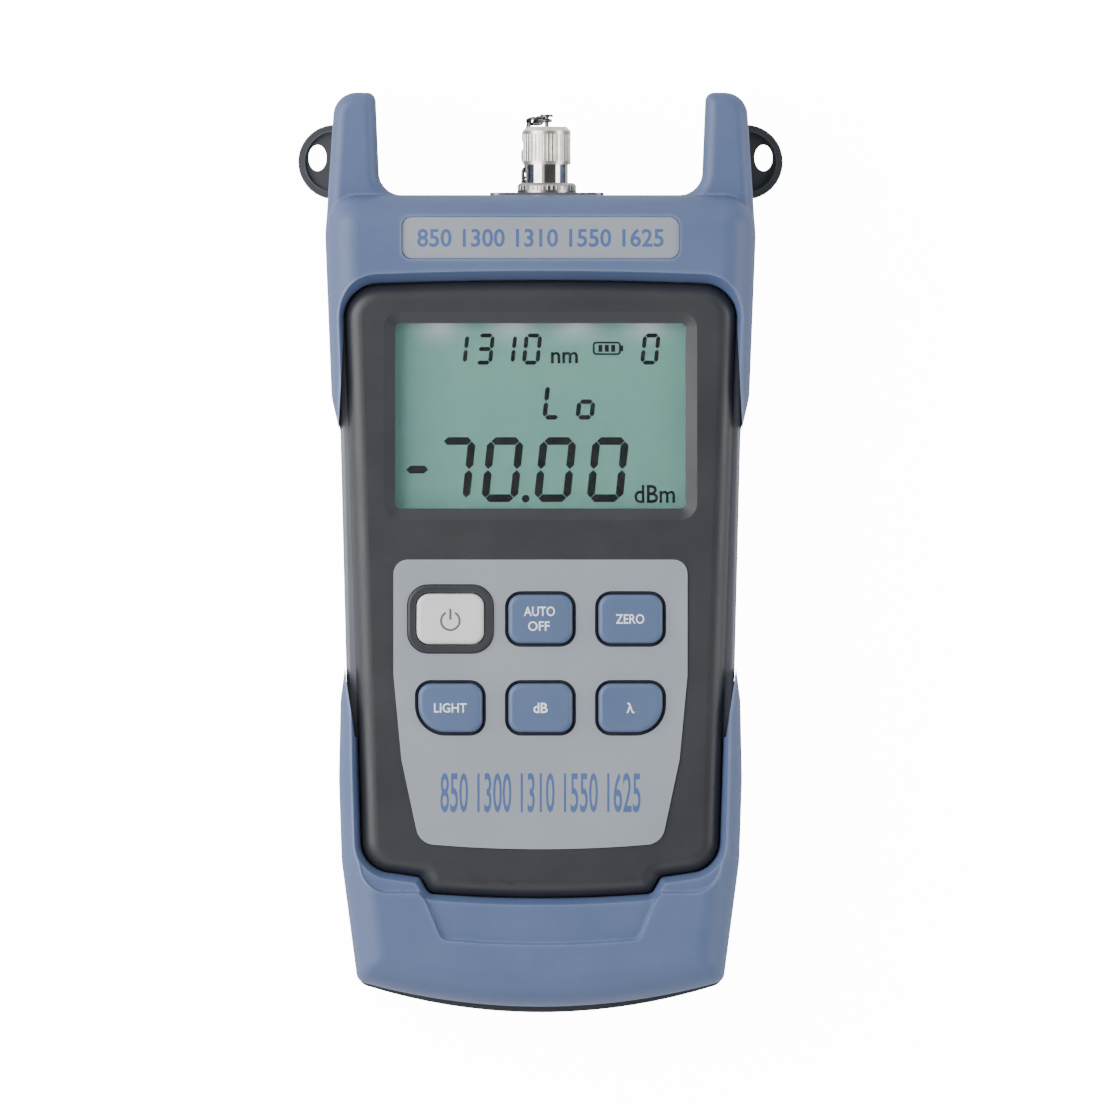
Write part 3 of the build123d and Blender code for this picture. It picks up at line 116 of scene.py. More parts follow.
world = bpy.data.worlds.new("pale_sky")
bpy.context.scene.world = world
world.use_nodes = True
sky = world.node_tree
sky.nodes["Background"].inputs["Color"].default_value = (1.0, 1.0, 1.0, 1.0)
looking = sky.nodes.new("ShaderNodeTexCoord").outputs["Generated"]
toward_patch = sky.nodes.new("ShaderNodeVectorMath")
toward_patch.operation = "DOT_PRODUCT"
toward_patch.inputs[1].default_value = patch_way
sky.links.new(looking, toward_patch.inputs[0])
sky_light = sky.nodes.new("ShaderNodeMapRange")
sky_light.inputs["From Min"].default_value = math.cos(patch_edge)
sky_light.inputs["From Max"].default_value = math.cos(patch_core)
sky_light.inputs["To Min"].default_value = sky_strength
sky_light.inputs["To Max"].default_value = patch_strength
sky.links.new(toward_patch.outputs["Value"], sky_light.inputs["Value"])
sky.links.new(sky_light.outputs["Result"], sky.nodes["Background"].inputs["Strength"])
print("sky strength", sky_strength, "and", patch_strength, "in its dark patch")

# %% [markdown]
# A mesh object can be added at any place, but every finished piece here keeps its object at the
# origin with its place in its mesh. These helpers start each piece clean and put its place away.

# %% Helpers for meshes
def start_clean():
    """Nothing selected, object mode."""
    if bpy.context.object and bpy.context.object.mode != "OBJECT":
        bpy.ops.object.mode_set(mode="OBJECT")
    bpy.ops.object.select_all(action="DESELECT")


def place_in_mesh(obj):
    """Turn and place go into the mesh, and the object stands at the origin."""
    start_clean()
    obj.select_set(True)
    bpy.context.view_layer.objects.active = obj
    bpy.ops.object.transform_apply(location=True, rotation=True, scale=True)
    return obj


def pick(obj, mode, chosen):
    """Edit mode, with only those elements selected whose centre and normal are chosen."""
    bpy.ops.object.mode_set(mode="EDIT")
    bpy.ops.mesh.select_mode(type=mode)
    bpy.ops.mesh.select_all(action="DESELECT")
    bpy.ops.object.mode_set(mode="OBJECT")
    mesh = obj.data
    if mode == "FACE":
        for face in mesh.polygons:
            face.select = bool(chosen(face.center, face.normal))
    elif mode == "EDGE":
        for edge in mesh.edges:
            a, b = (mesh.vertices[i].co for i in edge.vertices)
            edge.select = bool(chosen((a + b) / 2, b - a))
    else:
        for vertex in mesh.vertices:
            vertex.select = bool(chosen(vertex.co, vertex.normal))
    bpy.ops.object.mode_set(mode="EDIT")


def join_all(pieces):
    """One object from several, under the first one's name."""
    start_clean()
    for piece in pieces:
        piece.select_set(True)
    bpy.context.view_layer.objects.active = pieces[0]
    bpy.ops.object.join()


def thicken(obj, amount, offset):
    """A flat piece gets a thickness: offset 0 grows it both ways, 1 along its normals."""
    thickness = obj.modifiers.new("thickness", "SOLIDIFY")
    thickness.thickness = amount
    thickness.offset = offset
    bpy.ops.object.modifier_apply(modifier="thickness")


def finish_piece(obj, name, material, body, smooth=35):
    """Name, finish, smooth shading by angle, and the body that the piece rides on."""
    place_in_mesh(obj)
    obj.name = name
    obj.data.name = name
    obj.data.materials.clear()
    obj.data.materials.append(material)
    if smooth:
        bpy.ops.object.shade_smooth_by_angle(angle=math.radians(smooth))
    if body:
        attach(obj, body)
    print(name, len(obj.data.polygons), "faces")
    return obj


# %% [markdown]
# Moulded plastic and rubber are never quite even: the mould leaves a fine grain, handling leaves
# slight smears, and a painted highlight stands for the light that catches on every rounded edge.
# Two node groups hold these effects, so that each material can use them with its own numbers.

# %% The surface groups
def add_group(name, inputs, outputs):
    group = bpy.data.node_groups.new(name, "ShaderNodeTree")
    for socket, value in inputs:
        item = group.interface.new_socket(socket, in_out="INPUT", socket_type="NodeSocketFloat")
        item.default_value = value
    for socket in outputs:
        group.interface.new_socket(socket, in_out="OUTPUT", socket_type="NodeSocketFloat")
    start = group.nodes.new("NodeGroupInput")
    end = group.nodes.new("NodeGroupOutput")
    return group, start, end


def noise(group, coordinates, scale, detail, roughness=0.5):
    texture = group.nodes.new("ShaderNodeTexNoise")
    texture.inputs["Detail"].default_value = detail
    texture.inputs["Roughness"].default_value = roughness
    group.links.new(coordinates, texture.inputs["Vector"])
    if isinstance(scale, float):
        texture.inputs["Scale"].default_value = scale
    else:
        group.links.new(scale, texture.inputs["Scale"])
    return texture.outputs["Fac"]


def maths(group, operation, first, second, clamp=False):
    node = group.nodes.new("ShaderNodeMath")
    node.operation = operation
    node.use_clamp = clamp
    for socket, value in zip(node.inputs, (first, second)):
        if isinstance(value, (int, float)):
            socket.default_value = value
        else:
            group.links.new(value, socket)
    return node.outputs[0]


grain_group, grain_in, grain_out = add_group(
    "mould_grain", [("Grain size", 3500.0), ("Smear size", 60.0)], ["Height", "Smear"]
)
grain_place = grain_group.nodes.new("ShaderNodeTexCoord").outputs["Object"]
grain_height = noise(grain_group, grain_place, grain_in.outputs["Grain size"], 2.0)
grain_smear = noise(grain_group, grain_place, grain_in.outputs["Smear size"], 4.0, 0.6)
grain_group.links.new(grain_height, grain_out.inputs["Height"])
grain_group.links.new(grain_smear, grain_out.inputs["Smear"])

# %% [markdown]
# The edge mask compares the true surface with one whose edges are rounded: they differ only near
# an edge. Broken up with noise, it marks where a paler colour is painted on as an edge highlight.

# %% The edge group
# Painted highlight: this mask marks the edges and creases that are given a paler colour.
edge_group, edge_in, edge_out = add_group(
    "painted_edge_highlight", [("Width", 0.0008), ("Gain", 4.0), ("Breakup", 0.4)], ["Mask"]
)
rounded = edge_group.nodes.new("ShaderNodeBevel")
rounded.samples = 4
edge_group.links.new(edge_in.outputs["Width"], rounded.inputs["Radius"])
true_normal = edge_group.nodes.new("ShaderNodeNewGeometry").outputs["Normal"]
closeness = edge_group.nodes.new("ShaderNodeVectorMath")
closeness.operation = "DOT_PRODUCT"
edge_group.links.new(rounded.outputs["Normal"], closeness.inputs[0])
edge_group.links.new(true_normal, closeness.inputs[1])

edge_place = edge_group.nodes.new("ShaderNodeTexCoord").outputs["Object"]
difference = maths(edge_group, "SUBTRACT", 1.0, closeness.outputs["Value"])
gained = maths(edge_group, "MULTIPLY", difference, edge_in.outputs["Gain"], clamp=True)
patches = noise(edge_group, edge_place, 350.0, 3.0)
patchy = maths(edge_group, "MULTIPLY", patches, edge_in.outputs["Breakup"])
edge_group.links.new(maths(edge_group, "SUBTRACT", gained, patchy, clamp=True), edge_out.inputs["Mask"])

# %% [markdown]
# A moulded finish is a base colour that drifts between two near shades, a little paler at its edges
# as a painted highlight, with a fine bump. One function makes them all, and each part gets its numbers.

# %% Moulded finishes
def colour(value):
    """A screen colour, 0 to 255, as the linear colour that the nodes use."""
    parts = [c / 255 for c in value]
    return tuple(c / 12.92 if c <= 0.04045 else ((c + 0.055) / 1.055) ** 2.4 for c in parts) + (1.0,)


def bare_material(name, rough, metal=0.0):
    material = bpy.data.materials.new(name)
    material.use_nodes = True
    shader = material.node_tree.nodes["Principled BSDF"]
    shader.inputs["Roughness"].default_value = rough
    shader.inputs["Metallic"].default_value = metal
    return material, material.node_tree, shader


def group_node(tree, group, **values):
    node = tree.nodes.new("ShaderNodeGroup")
    node.node_tree = group
    for socket, value in values.items():
        node.inputs[socket.replace("_", " ")].default_value = value
    return node


def mix(tree, factor, first, second):
    node = tree.nodes.new("ShaderNodeMix")
    node.data_type = "RGBA"
    for socket, value in (("Factor", factor), ("A", first), ("B", second)):
        target = [s for s in node.inputs if s.name == socket and s.enabled][0]
        if isinstance(value, (int, float, tuple)):
            target.default_value = value
        else:
            tree.links.new(value, target)
    return [s for s in node.outputs if s.enabled][0]


def span(tree, value, low, high, out_low=0.0, out_high=1.0):
    node = tree.nodes.new("ShaderNodeMapRange")
    node.inputs["From Min"].default_value = low
    node.inputs["From Max"].default_value = high
    node.inputs["To Min"].default_value = out_low
    node.inputs["To Max"].default_value = out_high
    tree.links.new(value, node.inputs["Value"])
    return node.outputs["Result"]


def bump(tree, shader, height, depth):
    node = tree.nodes.new("ShaderNodeBump")
    node.inputs["Distance"].default_value = depth
    tree.links.new(height, node.inputs["Height"])
    tree.links.new(node.outputs["Normal"], shader.inputs["Normal"])


smear_range = (0.3, 0.7)


def smeared_roughness(tree, shader, surface, rough, rough_span):
    """The roughness drifts with the smears, round its middle value."""
    low, high = rough - rough_span / 2, rough + rough_span / 2
    drift = span(tree, surface.outputs["Smear"], *smear_range, low, high)
    tree.links.new(drift, shader.inputs["Roughness"])


def moulded(name, base, shade, highlight_colour, rough, rough_span=0.1, grain=3500.0, depth=0.00001,
            edge_width=0.0008, edge_gain=3.0, coat=0.0):
    material, tree, shader = bare_material(name, rough)
    surface = group_node(tree, grain_group, Grain_size=grain)
    edge = group_node(tree, edge_group, Width=edge_width, Gain=edge_gain)
    drift = span(tree, surface.outputs["Smear"], *smear_range)
    body_colour = mix(tree, drift, colour(base), colour(shade))
    # The edge mask mixes in the paler colour: a painted highlight on edges and creases.
    highlighted_colour = mix(tree, edge.outputs["Mask"], body_colour, colour(highlight_colour))
    tree.links.new(highlighted_colour, shader.inputs["Base Color"])
    smeared_roughness(tree, shader, surface, rough, rough_span)
    bump(tree, shader, surface.outputs["Height"], depth)
    shader.inputs["Coat Weight"].default_value = coat
    print("finish", name)
    return material


# The third colour of each finish is its painted edge highlight.
blue_rubber = moulded("blue_rubber", (75, 91, 128), (80, 96, 133), (122, 139, 176), 0.52,
                      depth=0.00002, edge_width=0.0014, edge_gain=3.0)
silver_paint = moulded("silver_paint", (102, 106, 115), (107, 111, 120), (160, 165, 176), 0.42)
panel_plastic = moulded("panel_plastic", (38, 40, 45), (42, 44, 49), (68, 72, 78), 0.48,
                        depth=0.000012, edge_width=0.001, edge_gain=2.0)
plate_paint = moulded("plate_paint", (138, 144, 154), (143, 149, 158), (170, 176, 186), 0.42,
                      grain=5000.0, depth=0.000006, edge_width=0.0004)
blue_key = moulded("blue_key", (78, 96, 130), (82, 100, 134), (104, 126, 170), 0.45,
                   depth=0.00001, edge_width=0.0006, edge_gain=2.5)
pale_key = moulded("pale_key", (209, 209, 213), (215, 215, 218), (232, 232, 234), 0.42,
                   depth=0.00001, edge_width=0.0006)
dark_shell = moulded("dark_shell", (62, 65, 69), (67, 70, 74), (104, 108, 114), 0.34, coat=0.15,
                     depth=0.000012, edge_width=0.0009, edge_gain=2.0)
grey_silicone = moulded("grey_silicone", (96, 96, 99), (104, 104, 107), (130, 130, 133), 0.6)
black_epoxy = moulded("black_epoxy", (22, 22, 24), (28, 28, 30), (60, 60, 62), 0.5)
cell_film = moulded("cell_film", (30, 34, 44), (36, 40, 50), (86, 88, 94), 0.28, coat=0.5, edge_gain=1.0)
guide_plastic = moulded("guide_plastic", (226, 230, 226), (232, 235, 232), (244, 246, 244), 0.3)
print_blue = moulded("print_blue", (70, 91, 138), (76, 97, 144), (76, 97, 144), 0.4, depth=0.000004)
print_white = moulded("print_white", (232, 236, 242), (238, 241, 246), (240, 242, 246), 0.45,
                      depth=0.000004)
print_grey = moulded("print_grey", (84, 86, 92), (92, 94, 100), (92, 94, 100), 0.45, depth=0.000004)

# %% [markdown]
# Turned and plated metal has fine rings round its axis where the tool ran, and long tight
# highlights. Noise squeezed along the port's axis, which is Y here, gives those rings, and a slow
# noise varies the polish.

# %% Metal finishes
dark_share = 0.82


def turned(name, base, rough, ring_scale, depth, rough_span=0.08, metal=1.0):
    material, tree, shader = bare_material(name, rough, metal)
    place = tree.nodes.new("ShaderNodeTexCoord").outputs["Object"]
    squeeze = tree.nodes.new("ShaderNodeMapping")
    squeeze.inputs["Scale"].default_value = (80.0, ring_scale, 80.0)
    tree.links.new(place, squeeze.inputs["Vector"])
    rings = tree.nodes.new("ShaderNodeTexNoise")
    rings.inputs["Scale"].default_value = 1.0
    rings.inputs["Detail"].default_value = 3.0
    tree.links.new(squeeze.outputs["Vector"], rings.inputs["Vector"])
    surface = group_node(tree, grain_group, Grain_size=2500.0, Smear_size=300.0)
    dark = tuple(c * dark_share for c in base)
    tree.links.new(
        mix(tree, span(tree, surface.outputs["Smear"], 0.35, 0.7), colour(base), colour(dark)),
        shader.inputs["Base Color"],
    )
    smeared_roughness(tree, shader, surface, rough, rough_span)
    bump(tree, shader, rings.outputs["Fac"], depth)
    print("finish", name)
    return material


polished = turned("polished_nickel", (236, 232, 226), 0.06, 3000.0, 0.000001, 0.04)
plated = turned("plated_nickel", (184, 181, 178), 0.28, 1500.0, 0.000006)
satin = turned("satin_nickel", (243, 234, 224), 0.3, 1500.0, 0.000006, metal=0.85)
chain_metal = turned("chain_metal", (112, 112, 115), 0.36, 900.0, 0.000004)
grey_metal = turned("grey_metal", (150, 153, 158), 0.4, 1200.0, 0.000008)
zinc_steel = turned("zinc_steel", (186, 188, 190), 0.32, 1200.0, 0.000006)
spring_steel = turned("spring_steel", (176, 178, 182), 0.25, 1200.0, 0.000004)

# %% [markdown]
# Circuit board: green solder mask over copper tracks. The tracks are only hinted at, by the joints
# of a fine grid of blocks. The ceramic sleeve of the port is plain white and smooth.

# %% Board and ceramic
board_green, board_tree, board_shader = bare_material("board_green", 0.35)
board_place = board_tree.nodes.new("ShaderNodeTexCoord").outputs["Object"]
tracks = board_tree.nodes.new("ShaderNodeTexBrick")
tracks.inputs["Scale"].default_value = 160.0
tracks.inputs["Color1"].default_value = colour((26, 92, 58))
tracks.inputs["Color2"].default_value = colour((22, 84, 52))
tracks.inputs["Mortar"].default_value = colour((52, 122, 80))
tracks.inputs["Mortar Size"].default_value = 0.03
board_tree.links.new(board_place, tracks.inputs["Vector"])
board_tree.links.new(tracks.outputs["Color"], board_shader.inputs["Base Color"])
bump(board_tree, board_shader, tracks.outputs["Fac"], 0.00003)

ceramic, ceramic_tree, ceramic_shader = bare_material("white_ceramic", 0.15)
ceramic_surface = group_node(ceramic_tree, grain_group, Grain_size=6000.0)
ceramic_smear = ceramic_surface.outputs["Smear"]
ceramic_colour = mix(ceramic_tree, ceramic_smear, colour((240, 240, 236)), colour((228, 228, 222)))
ceramic_tree.links.new(ceramic_colour, ceramic_shader.inputs["Base Color"])
bump(ceramic_tree, ceramic_shader, ceramic_surface.outputs["Height"], 0.000002)

# %% [markdown]
# The display is a grey-green glass lit from behind by four small lamps along its upper edge. The
# lamps show as pale spots that fade downwards. The left side is a little bluer and darker, a painted
# shade from the bezel. Each spot is a soft ball of brightness round its lamp's place.

# %% The lit glass
glass_low, glass_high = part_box("lcd_glass")
display_centre = (glass_low + glass_high) / 2
display_half = 17.5 * mm
display_top = display_centre.y + display_half
lamp_places = (-19.3, -5.4, 6.9, 20.2)
lamp_rise = 0.5 * mm
lamp_reach = 7.5 * mm
lamp_stretch = (0.9, 1.25, 0)
print("display centre", [round(v / mm, 2) for v in display_centre])

lit_glass, lit_tree, lit_shader = bare_material("lit_glass", 0.3)
lit_place = lit_tree.nodes.new("ShaderNodeTexCoord").outputs["Object"]


def near(tree, place, centre, reach, stretch):
    """1 at a centre, falling smoothly to 0 at the given reach."""
    mapping = tree.nodes.new("ShaderNodeMapping")
    scale = [s / reach for s in stretch]
    mapping.inputs["Scale"].default_value = scale
    mapping.inputs["Location"].default_value = [-c * s for c, s in zip(centre, scale)]
    tree.links.new(place, mapping.inputs["Vector"])
    ball = tree.nodes.new("ShaderNodeTexGradient")
    ball.gradient_type = "QUADRATIC_SPHERE"
    tree.links.new(mapping.outputs["Vector"], ball.inputs["Vector"])
    return ball.outputs["Fac"]


lamp_glow = 0.0
for lamp_x in lamp_places:
    lamp_centre = (lamp_x * mm, display_top + lamp_rise, 0)
    spot = near(lit_tree, lit_place, lamp_centre, lamp_reach, lamp_stretch)
    lamp_glow = maths(lit_tree, "ADD", lamp_glow, spot, clamp=True)
lit_parts = lit_tree.nodes.new("ShaderNodeSeparateXYZ")
lit_tree.links.new(lit_place, lit_parts.inputs[0])
# Painted shade: the bezel's shade on the left of the glass is painted into its colour.
left_shade = span(lit_tree, lit_parts.outputs["X"], -26.5 * mm, -15 * mm, 1.0, 0.0)
top_light = span(lit_tree, lit_parts.outputs["Y"], display_centre.y, display_top)
lit_surface = group_node(lit_tree, grain_group, Grain_size=4000.0, Smear_size=35.0)
lit_base = mix(lit_tree, lit_surface.outputs["Smear"], colour((102, 145, 138)), colour((108, 151, 144)))
lit_base = mix(lit_tree, maths(lit_tree, "MULTIPLY", top_light, 0.35), lit_base, colour((116, 157, 150)))
lit_base = mix(lit_tree, maths(lit_tree, "MULTIPLY", left_shade, 0.45), lit_base, colour((80, 114, 116)))
lit_base = mix(lit_tree, maths(lit_tree, "MULTIPLY", lamp_glow, 0.85), lit_base, colour((206, 206, 226)))
lit_tree.links.new(lit_base, lit_shader.inputs["Emission Color"])
lit_tree.links.new(lit_base, lit_shader.inputs["Base Color"])
lit_shader.inputs["Emission Strength"].default_value = 0.35

# %% [markdown]
# The segments are dark blue-grey liquid crystal, and the printed signs on the glass share their
# colour. The window over them is clear acrylic, thin and slightly green at its edges.

# %% Display ink and window
display_ink = moulded("display_ink", (4, 8, 16), (7, 11, 20), (7, 11, 20), 0.7,
                      depth=0.000002, edge_gain=0.0)
clear_window, window_tree, window_shader = bare_material("clear_window", 0.02)
window_shader.inputs["Transmission Weight"].default_value = 1.0
window_shader.inputs["IOR"].default_value = 1.2
window_surface = group_node(window_tree, grain_group, Smear_size=20.0)
window_tree.links.new(
    mix(window_tree, window_surface.outputs["Smear"], (0.98, 1.0, 0.99, 1.0), (0.96, 0.99, 0.97, 1.0)),
    window_shader.inputs["Base Color"],
)
window_tree.links.new(
    span(window_tree, window_surface.outputs["Smear"], *smear_range, 0.0, 0.03),
    window_shader.inputs["Roughness"],
)

# %% [markdown]
# Every CAD solid is now given its finish. Its mesh stays as it is: only its material slots change.

# %% Finishes of the CAD parts
finish_of = {
    "rear_housing": dark_shell, "battery_door": dark_shell, "front_housing": silver_paint,
    "front_panel": panel_plastic, "top_bumper": blue_rubber, "bottom_bumper": blue_rubber,
    "name_plate": plate_paint, "keypad_plate": plate_paint, "display_window": clear_window,
    "lcd_glass": lit_glass, "lcd_segments": display_ink, "lcd_backlight": guide_plastic,
    "backlight_leds": guide_plastic, "rubber_strips": grey_silicone, "keypad_mat": grey_silicone,
    "cap_seal": grey_silicone, "key_power": pale_key, "key_auto_off": blue_key, "key_zero": blue_key,
    "key_light": blue_key, "key_db": blue_key, "key_lambda": blue_key, "main_board": board_green,
    "board_chips": black_epoxy, "board_capacitors": black_epoxy, "board_screws": zinc_steel,
    "housing_screws": zinc_steel, "battery_contacts": zinc_steel, "battery_springs": spring_steel,
    "battery_cell_1": cell_film, "battery_cell_2": cell_film, "battery_cell_3": cell_film,
    "port_plate": grey_metal, "optical_adapter": polished, "chain_ring": plated, "base_nut": plated,
    "dust_cap": satin, "cap_rivet": chain_metal, "cap_chain": chain_metal, "photodiode": plated,
    "ferrule_sleeve": ceramic,
}
for node, material in finish_of.items():
    mesh = nodes_of[node].data
    if not mesh.materials:
        mesh.materials.append(material)
    for i in range(len(mesh.materials)):
        mesh.materials[i] = material
print("without a finish:", sorted(set(nodes_of) - set(finish_of)))

# %% [markdown]
# Legends are printed ink, a few hundredths of a millimetre thick. Each is made as text, turned
# into a mesh, brought to its measured size and laid on the surface that carries it.

# %% Printed legends
ink_thick = 0.03 * mm


def printed(name, words, centre, size, level, material, body, bold):
    """Words as a thin printed mesh: centre and size in millimetres, level in metres."""
    start_clean()
    bpy.ops.object.text_add(location=(0, 0, 0))
    text = bpy.context.object
    text.data.body = words
    text.data.resolution_u = 3
    text.data.offset = bold
    text.data.extrude = 0.5
    bpy.ops.object.convert(target="MESH")
    text = bpy.context.object
    corners = [v.co for v in text.data.vertices]
    low = Vector([min(c[i] for c in corners) for i in range(3)])
    high = Vector([max(c[i] for c in corners) for i in range(3)])
    scale = [size[0] * mm / (high.x - low.x), size[1] * mm / (high.y - low.y), ink_thick]
    middle = (low + high) / 2
    shift = Vector((centre[0] * mm, centre[1] * mm, level))
    sized = Matrix.Diagonal(Vector(scale + [1.0]))
    text.data.transform(Matrix.Translation(shift) @ sized @ Matrix.Translation(-middle))
    finish_piece(text, name, material, body, smooth=0)


def top_of(node):
    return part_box(node)[1].z


def middle_of(node):
    low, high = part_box(node)
    return (low.x + high.x) / 2 / mm, (low.y + high.y) / 2 / mm


key_top = top_of("key_zero")
legends = [  # name, words, key, shift from the key's middle, size, boldness
    ("legend_auto", "AUTO", "key_auto_off", (-0.2, 1.45), (5.9, 1.85), 0.012),
    ("legend_off", "OFF", "key_auto_off", (-0.3, -1.35), (4.1, 1.85), 0.012),
    ("legend_zero", "ZERO", "key_zero", (-0.1, 0.0), (5.4, 1.85), 0.012),
    ("legend_light", "LIGHT", "key_light", (0.0, 0.0), (6.2, 1.8), 0.012),
    ("legend_db", "dB", "key_db", (0.0, 0.0), (2.7, 1.95), 0.02),
    ("legend_lambda", "λ", "key_lambda", (0.0, 0.0), (1.5, 2.0), 0.02),
]
for name, words, key, shift, size, bold in legends:
    key_x, key_y = middle_of(key)
    centre = (key_x + shift[0], key_y + shift[1])
    printed(name, words, centre, size, key_top, print_white, key, bold)

# %% [markdown]
# The two plates carry a line of plain wavelengths in a blue close to the rubber's. The lower one
# is set tall and narrow.

# %% Lines on the plates
wavelengths = "850 1300 1310 1550 1625"
printed("line_upper", wavelengths, middle_of("name_plate"), (46.8, 3.5), top_of("name_plate"),
        print_blue, "root", 0.018)
printed("line_lower", wavelengths, (0, -45.5), (38.0, 7.6), top_of("keypad_plate"),
        print_blue, "root", 0.01)

# %% [markdown]
# On the glass, the units and the battery sign are printed beside the segments.

# %% Signs on the glass
sign_lift = 0.05 * mm
glass_top = glass_high.z + sign_lift
printed("sign_nm", "nm", (4.55, 37.1), (5.1, 2.15), glass_top,
        display_ink, "root", 0.015)
printed("sign_dbm", "dBm", (21.7, 11.2), (7.7, 3.4), glass_top,
        display_ink, "root", 0.01)

# %% [markdown]
# The battery sign is a small rounded frame with three bars and a nub. A plane is inset, its
# middle deleted, and the rest given a thickness.

# %% Battery sign
battery_x, battery_y = 12.6, 38.85
nub_x = 15.45
bar_steps = (-1.2, 0.0, 1.2)
frame_corner = 0.6 * mm
frame_line = 0.32 * mm
sign_thick = 0.04 * mm


def flat_plate(centre, size):
    """A flat plate on the glass, with centre and size in millimetres."""
    start_clean()
    bpy.ops.mesh.primitive_plane_add(size=1, location=(centre[0] * mm, centre[1] * mm, glass_top))
    plate = bpy.context.object
    plate.scale = (size[0] * mm, size[1] * mm, 1)
    return place_in_mesh(plate)


battery = flat_plate((battery_x, battery_y), (5.3, 2.5))
pick(battery, "VERT", lambda co, n: True)
bpy.ops.mesh.bevel(offset=frame_corner, segments=3, affect="VERTICES")
bpy.ops.mesh.select_all(action="SELECT")
bpy.ops.mesh.inset(thickness=frame_line)
bpy.ops.mesh.delete(type="FACE")
bpy.ops.object.mode_set(mode="OBJECT")
bars = [flat_plate((battery_x + step, battery_y), (0.75, 1.3)) for step in bar_steps]
nub = flat_plate((nub_x, battery_y), (0.5, 1.1))
join_all([battery, *bars, nub])
thicken(battery, sign_thick, 0)
finish_piece(battery, "sign_battery", display_ink, "root", smooth=0)

# %% [markdown]
# The power sign is an open ring with a stroke through its gap. A circle is extruded inwards to a
# flat ring, the faces at the top are deleted, and a short bar stands in the opening.

# %% Power sign
power_x, power_y = middle_of("key_power")
sign_drop = 0.35
power_centre = Vector((power_x * mm, (power_y - sign_drop) * mm, top_of("key_power")))
ring_radius = 1.95 * mm
inner_share = 0.8
gap_low = 1.2 * mm
gap_half = 0.9 * mm
stroke_rise = 1.25 * mm
stroke_width = 0.42 * mm
stroke_length = 2.1 * mm

start_clean()
bpy.ops.mesh.primitive_circle_add(vertices=48, radius=ring_radius, location=power_centre)
power_sign = place_in_mesh(bpy.context.object)
pick(power_sign, "EDGE", lambda co, along: True)
bpy.ops.mesh.extrude_edges_move()
bpy.ops.transform.resize(value=(inner_share, inner_share, 1), center_override=power_centre)
bpy.ops.object.mode_set(mode="OBJECT")


def in_gap(co, normal):
    return co.y > power_centre.y + gap_low and abs(co.x - power_centre.x) < gap_half


pick(power_sign, "FACE", in_gap)
bpy.ops.mesh.delete(type="FACE")
bpy.ops.object.mode_set(mode="OBJECT")
start_clean()
bpy.ops.mesh.primitive_plane_add(size=1, location=power_centre + Vector((0, stroke_rise, 0)))
stroke = bpy.context.object
stroke.scale = (stroke_width, stroke_length, 1)
place_in_mesh(stroke)
join_all([power_sign, stroke])
thicken(power_sign, sign_thick, 0)
finish_piece(power_sign, "power_sign", print_grey, "key_power", smooth=0)

# %% [markdown]
# The dust cap hangs on a short chain of oblong links, so that it can't be lost. The links lie along
# a route: out from the rivet, over the cap's edge and down beside the neck to the eye of the base
# ring.

# %% Route of the chain
port_axis = Vector((1.2 * mm, 0, 16.5 * mm))
side_angle = math.radians(130)
side_way = Vector((math.cos(side_angle), 0, -math.sin(side_angle)))
across = Vector((-side_way.z, 0, side_way.x))
link_round = 0.76 * mm
link_wire = 0.66 * mm
link_stretch = 0.5 * mm
link_twist = math.radians(32)
link_count = 9
route_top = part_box("dust_cap")[1].y + link_round + 0.6 * link_wire
eye_rise = 1.6 * mm
route_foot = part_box("base_nut")[1].y + eye_rise
out_start, out_turn, out_end = 0.52 * mm, 5.65 * mm, 6.2 * mm
bend = 1.94 * mm


def route_point(share):
    """Place and direction on the route, for a share from 0 at the rivet to 1 at the base ring."""
    first = out_turn - bend - out_start
    arc = bend * math.pi / 2
    last = route_top - bend - route_foot
    walked = share * (first + arc + last)
    if walked < first:
        return out_start + walked, route_top, side_way
    if walked < first + arc:
        angle = (walked - first) / bend
        out = out_turn - bend + bend * math.sin(angle)
        along = side_way * math.cos(angle) - Vector((0, math.sin(angle), 0))
        return out, route_top - bend + bend * math.cos(angle), along
    down = (walked - first - arc) / last
    return out_turn + (out_end - out_turn) * down, route_top - bend - down * last, Vector((0, -1, 0))


# %% [markdown]
# One link is a ring of round wire, pulled longer in edit mode and laid on the route. Every second
# link is turned, and all but the first and last are twisted a little, as links lie in a slack chain.

# %% Chain links
middle_band = 0.02 * mm


def one_link(number):
    start_clean()
    bpy.ops.mesh.primitive_torus_add(
        major_radius=link_round, minor_radius=link_wire / 2, major_segments=20, minor_segments=8
    )
    link = bpy.context.object
    for way in (-1, 1):
        pick(link, "VERT", lambda co, n: co.x * way > middle_band)
        bpy.ops.transform.translate(value=(way * link_stretch, 0, 0))
        bpy.ops.object.mode_set(mode="OBJECT")
    out, y, along = route_point(number / (link_count - 1))
    upright = along.cross(across) if number % 2 == 0 else across
    if 0 < number < link_count - 1:
        upright = Matrix.Rotation(link_twist, 3, along) @ upright
    turn = Matrix((along, upright.cross(along), upright)).transposed().to_4x4()
    place = port_axis + side_way * out
    link.data.transform(Matrix.Translation((place.x, y, place.z)) @ turn)
    return link


links = [one_link(number) for number in range(link_count)]
join_all(links)
chain = finish_piece(links[0], "link_chain", chain_metal, None, smooth=60)
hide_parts("cap_chain")
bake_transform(chain)
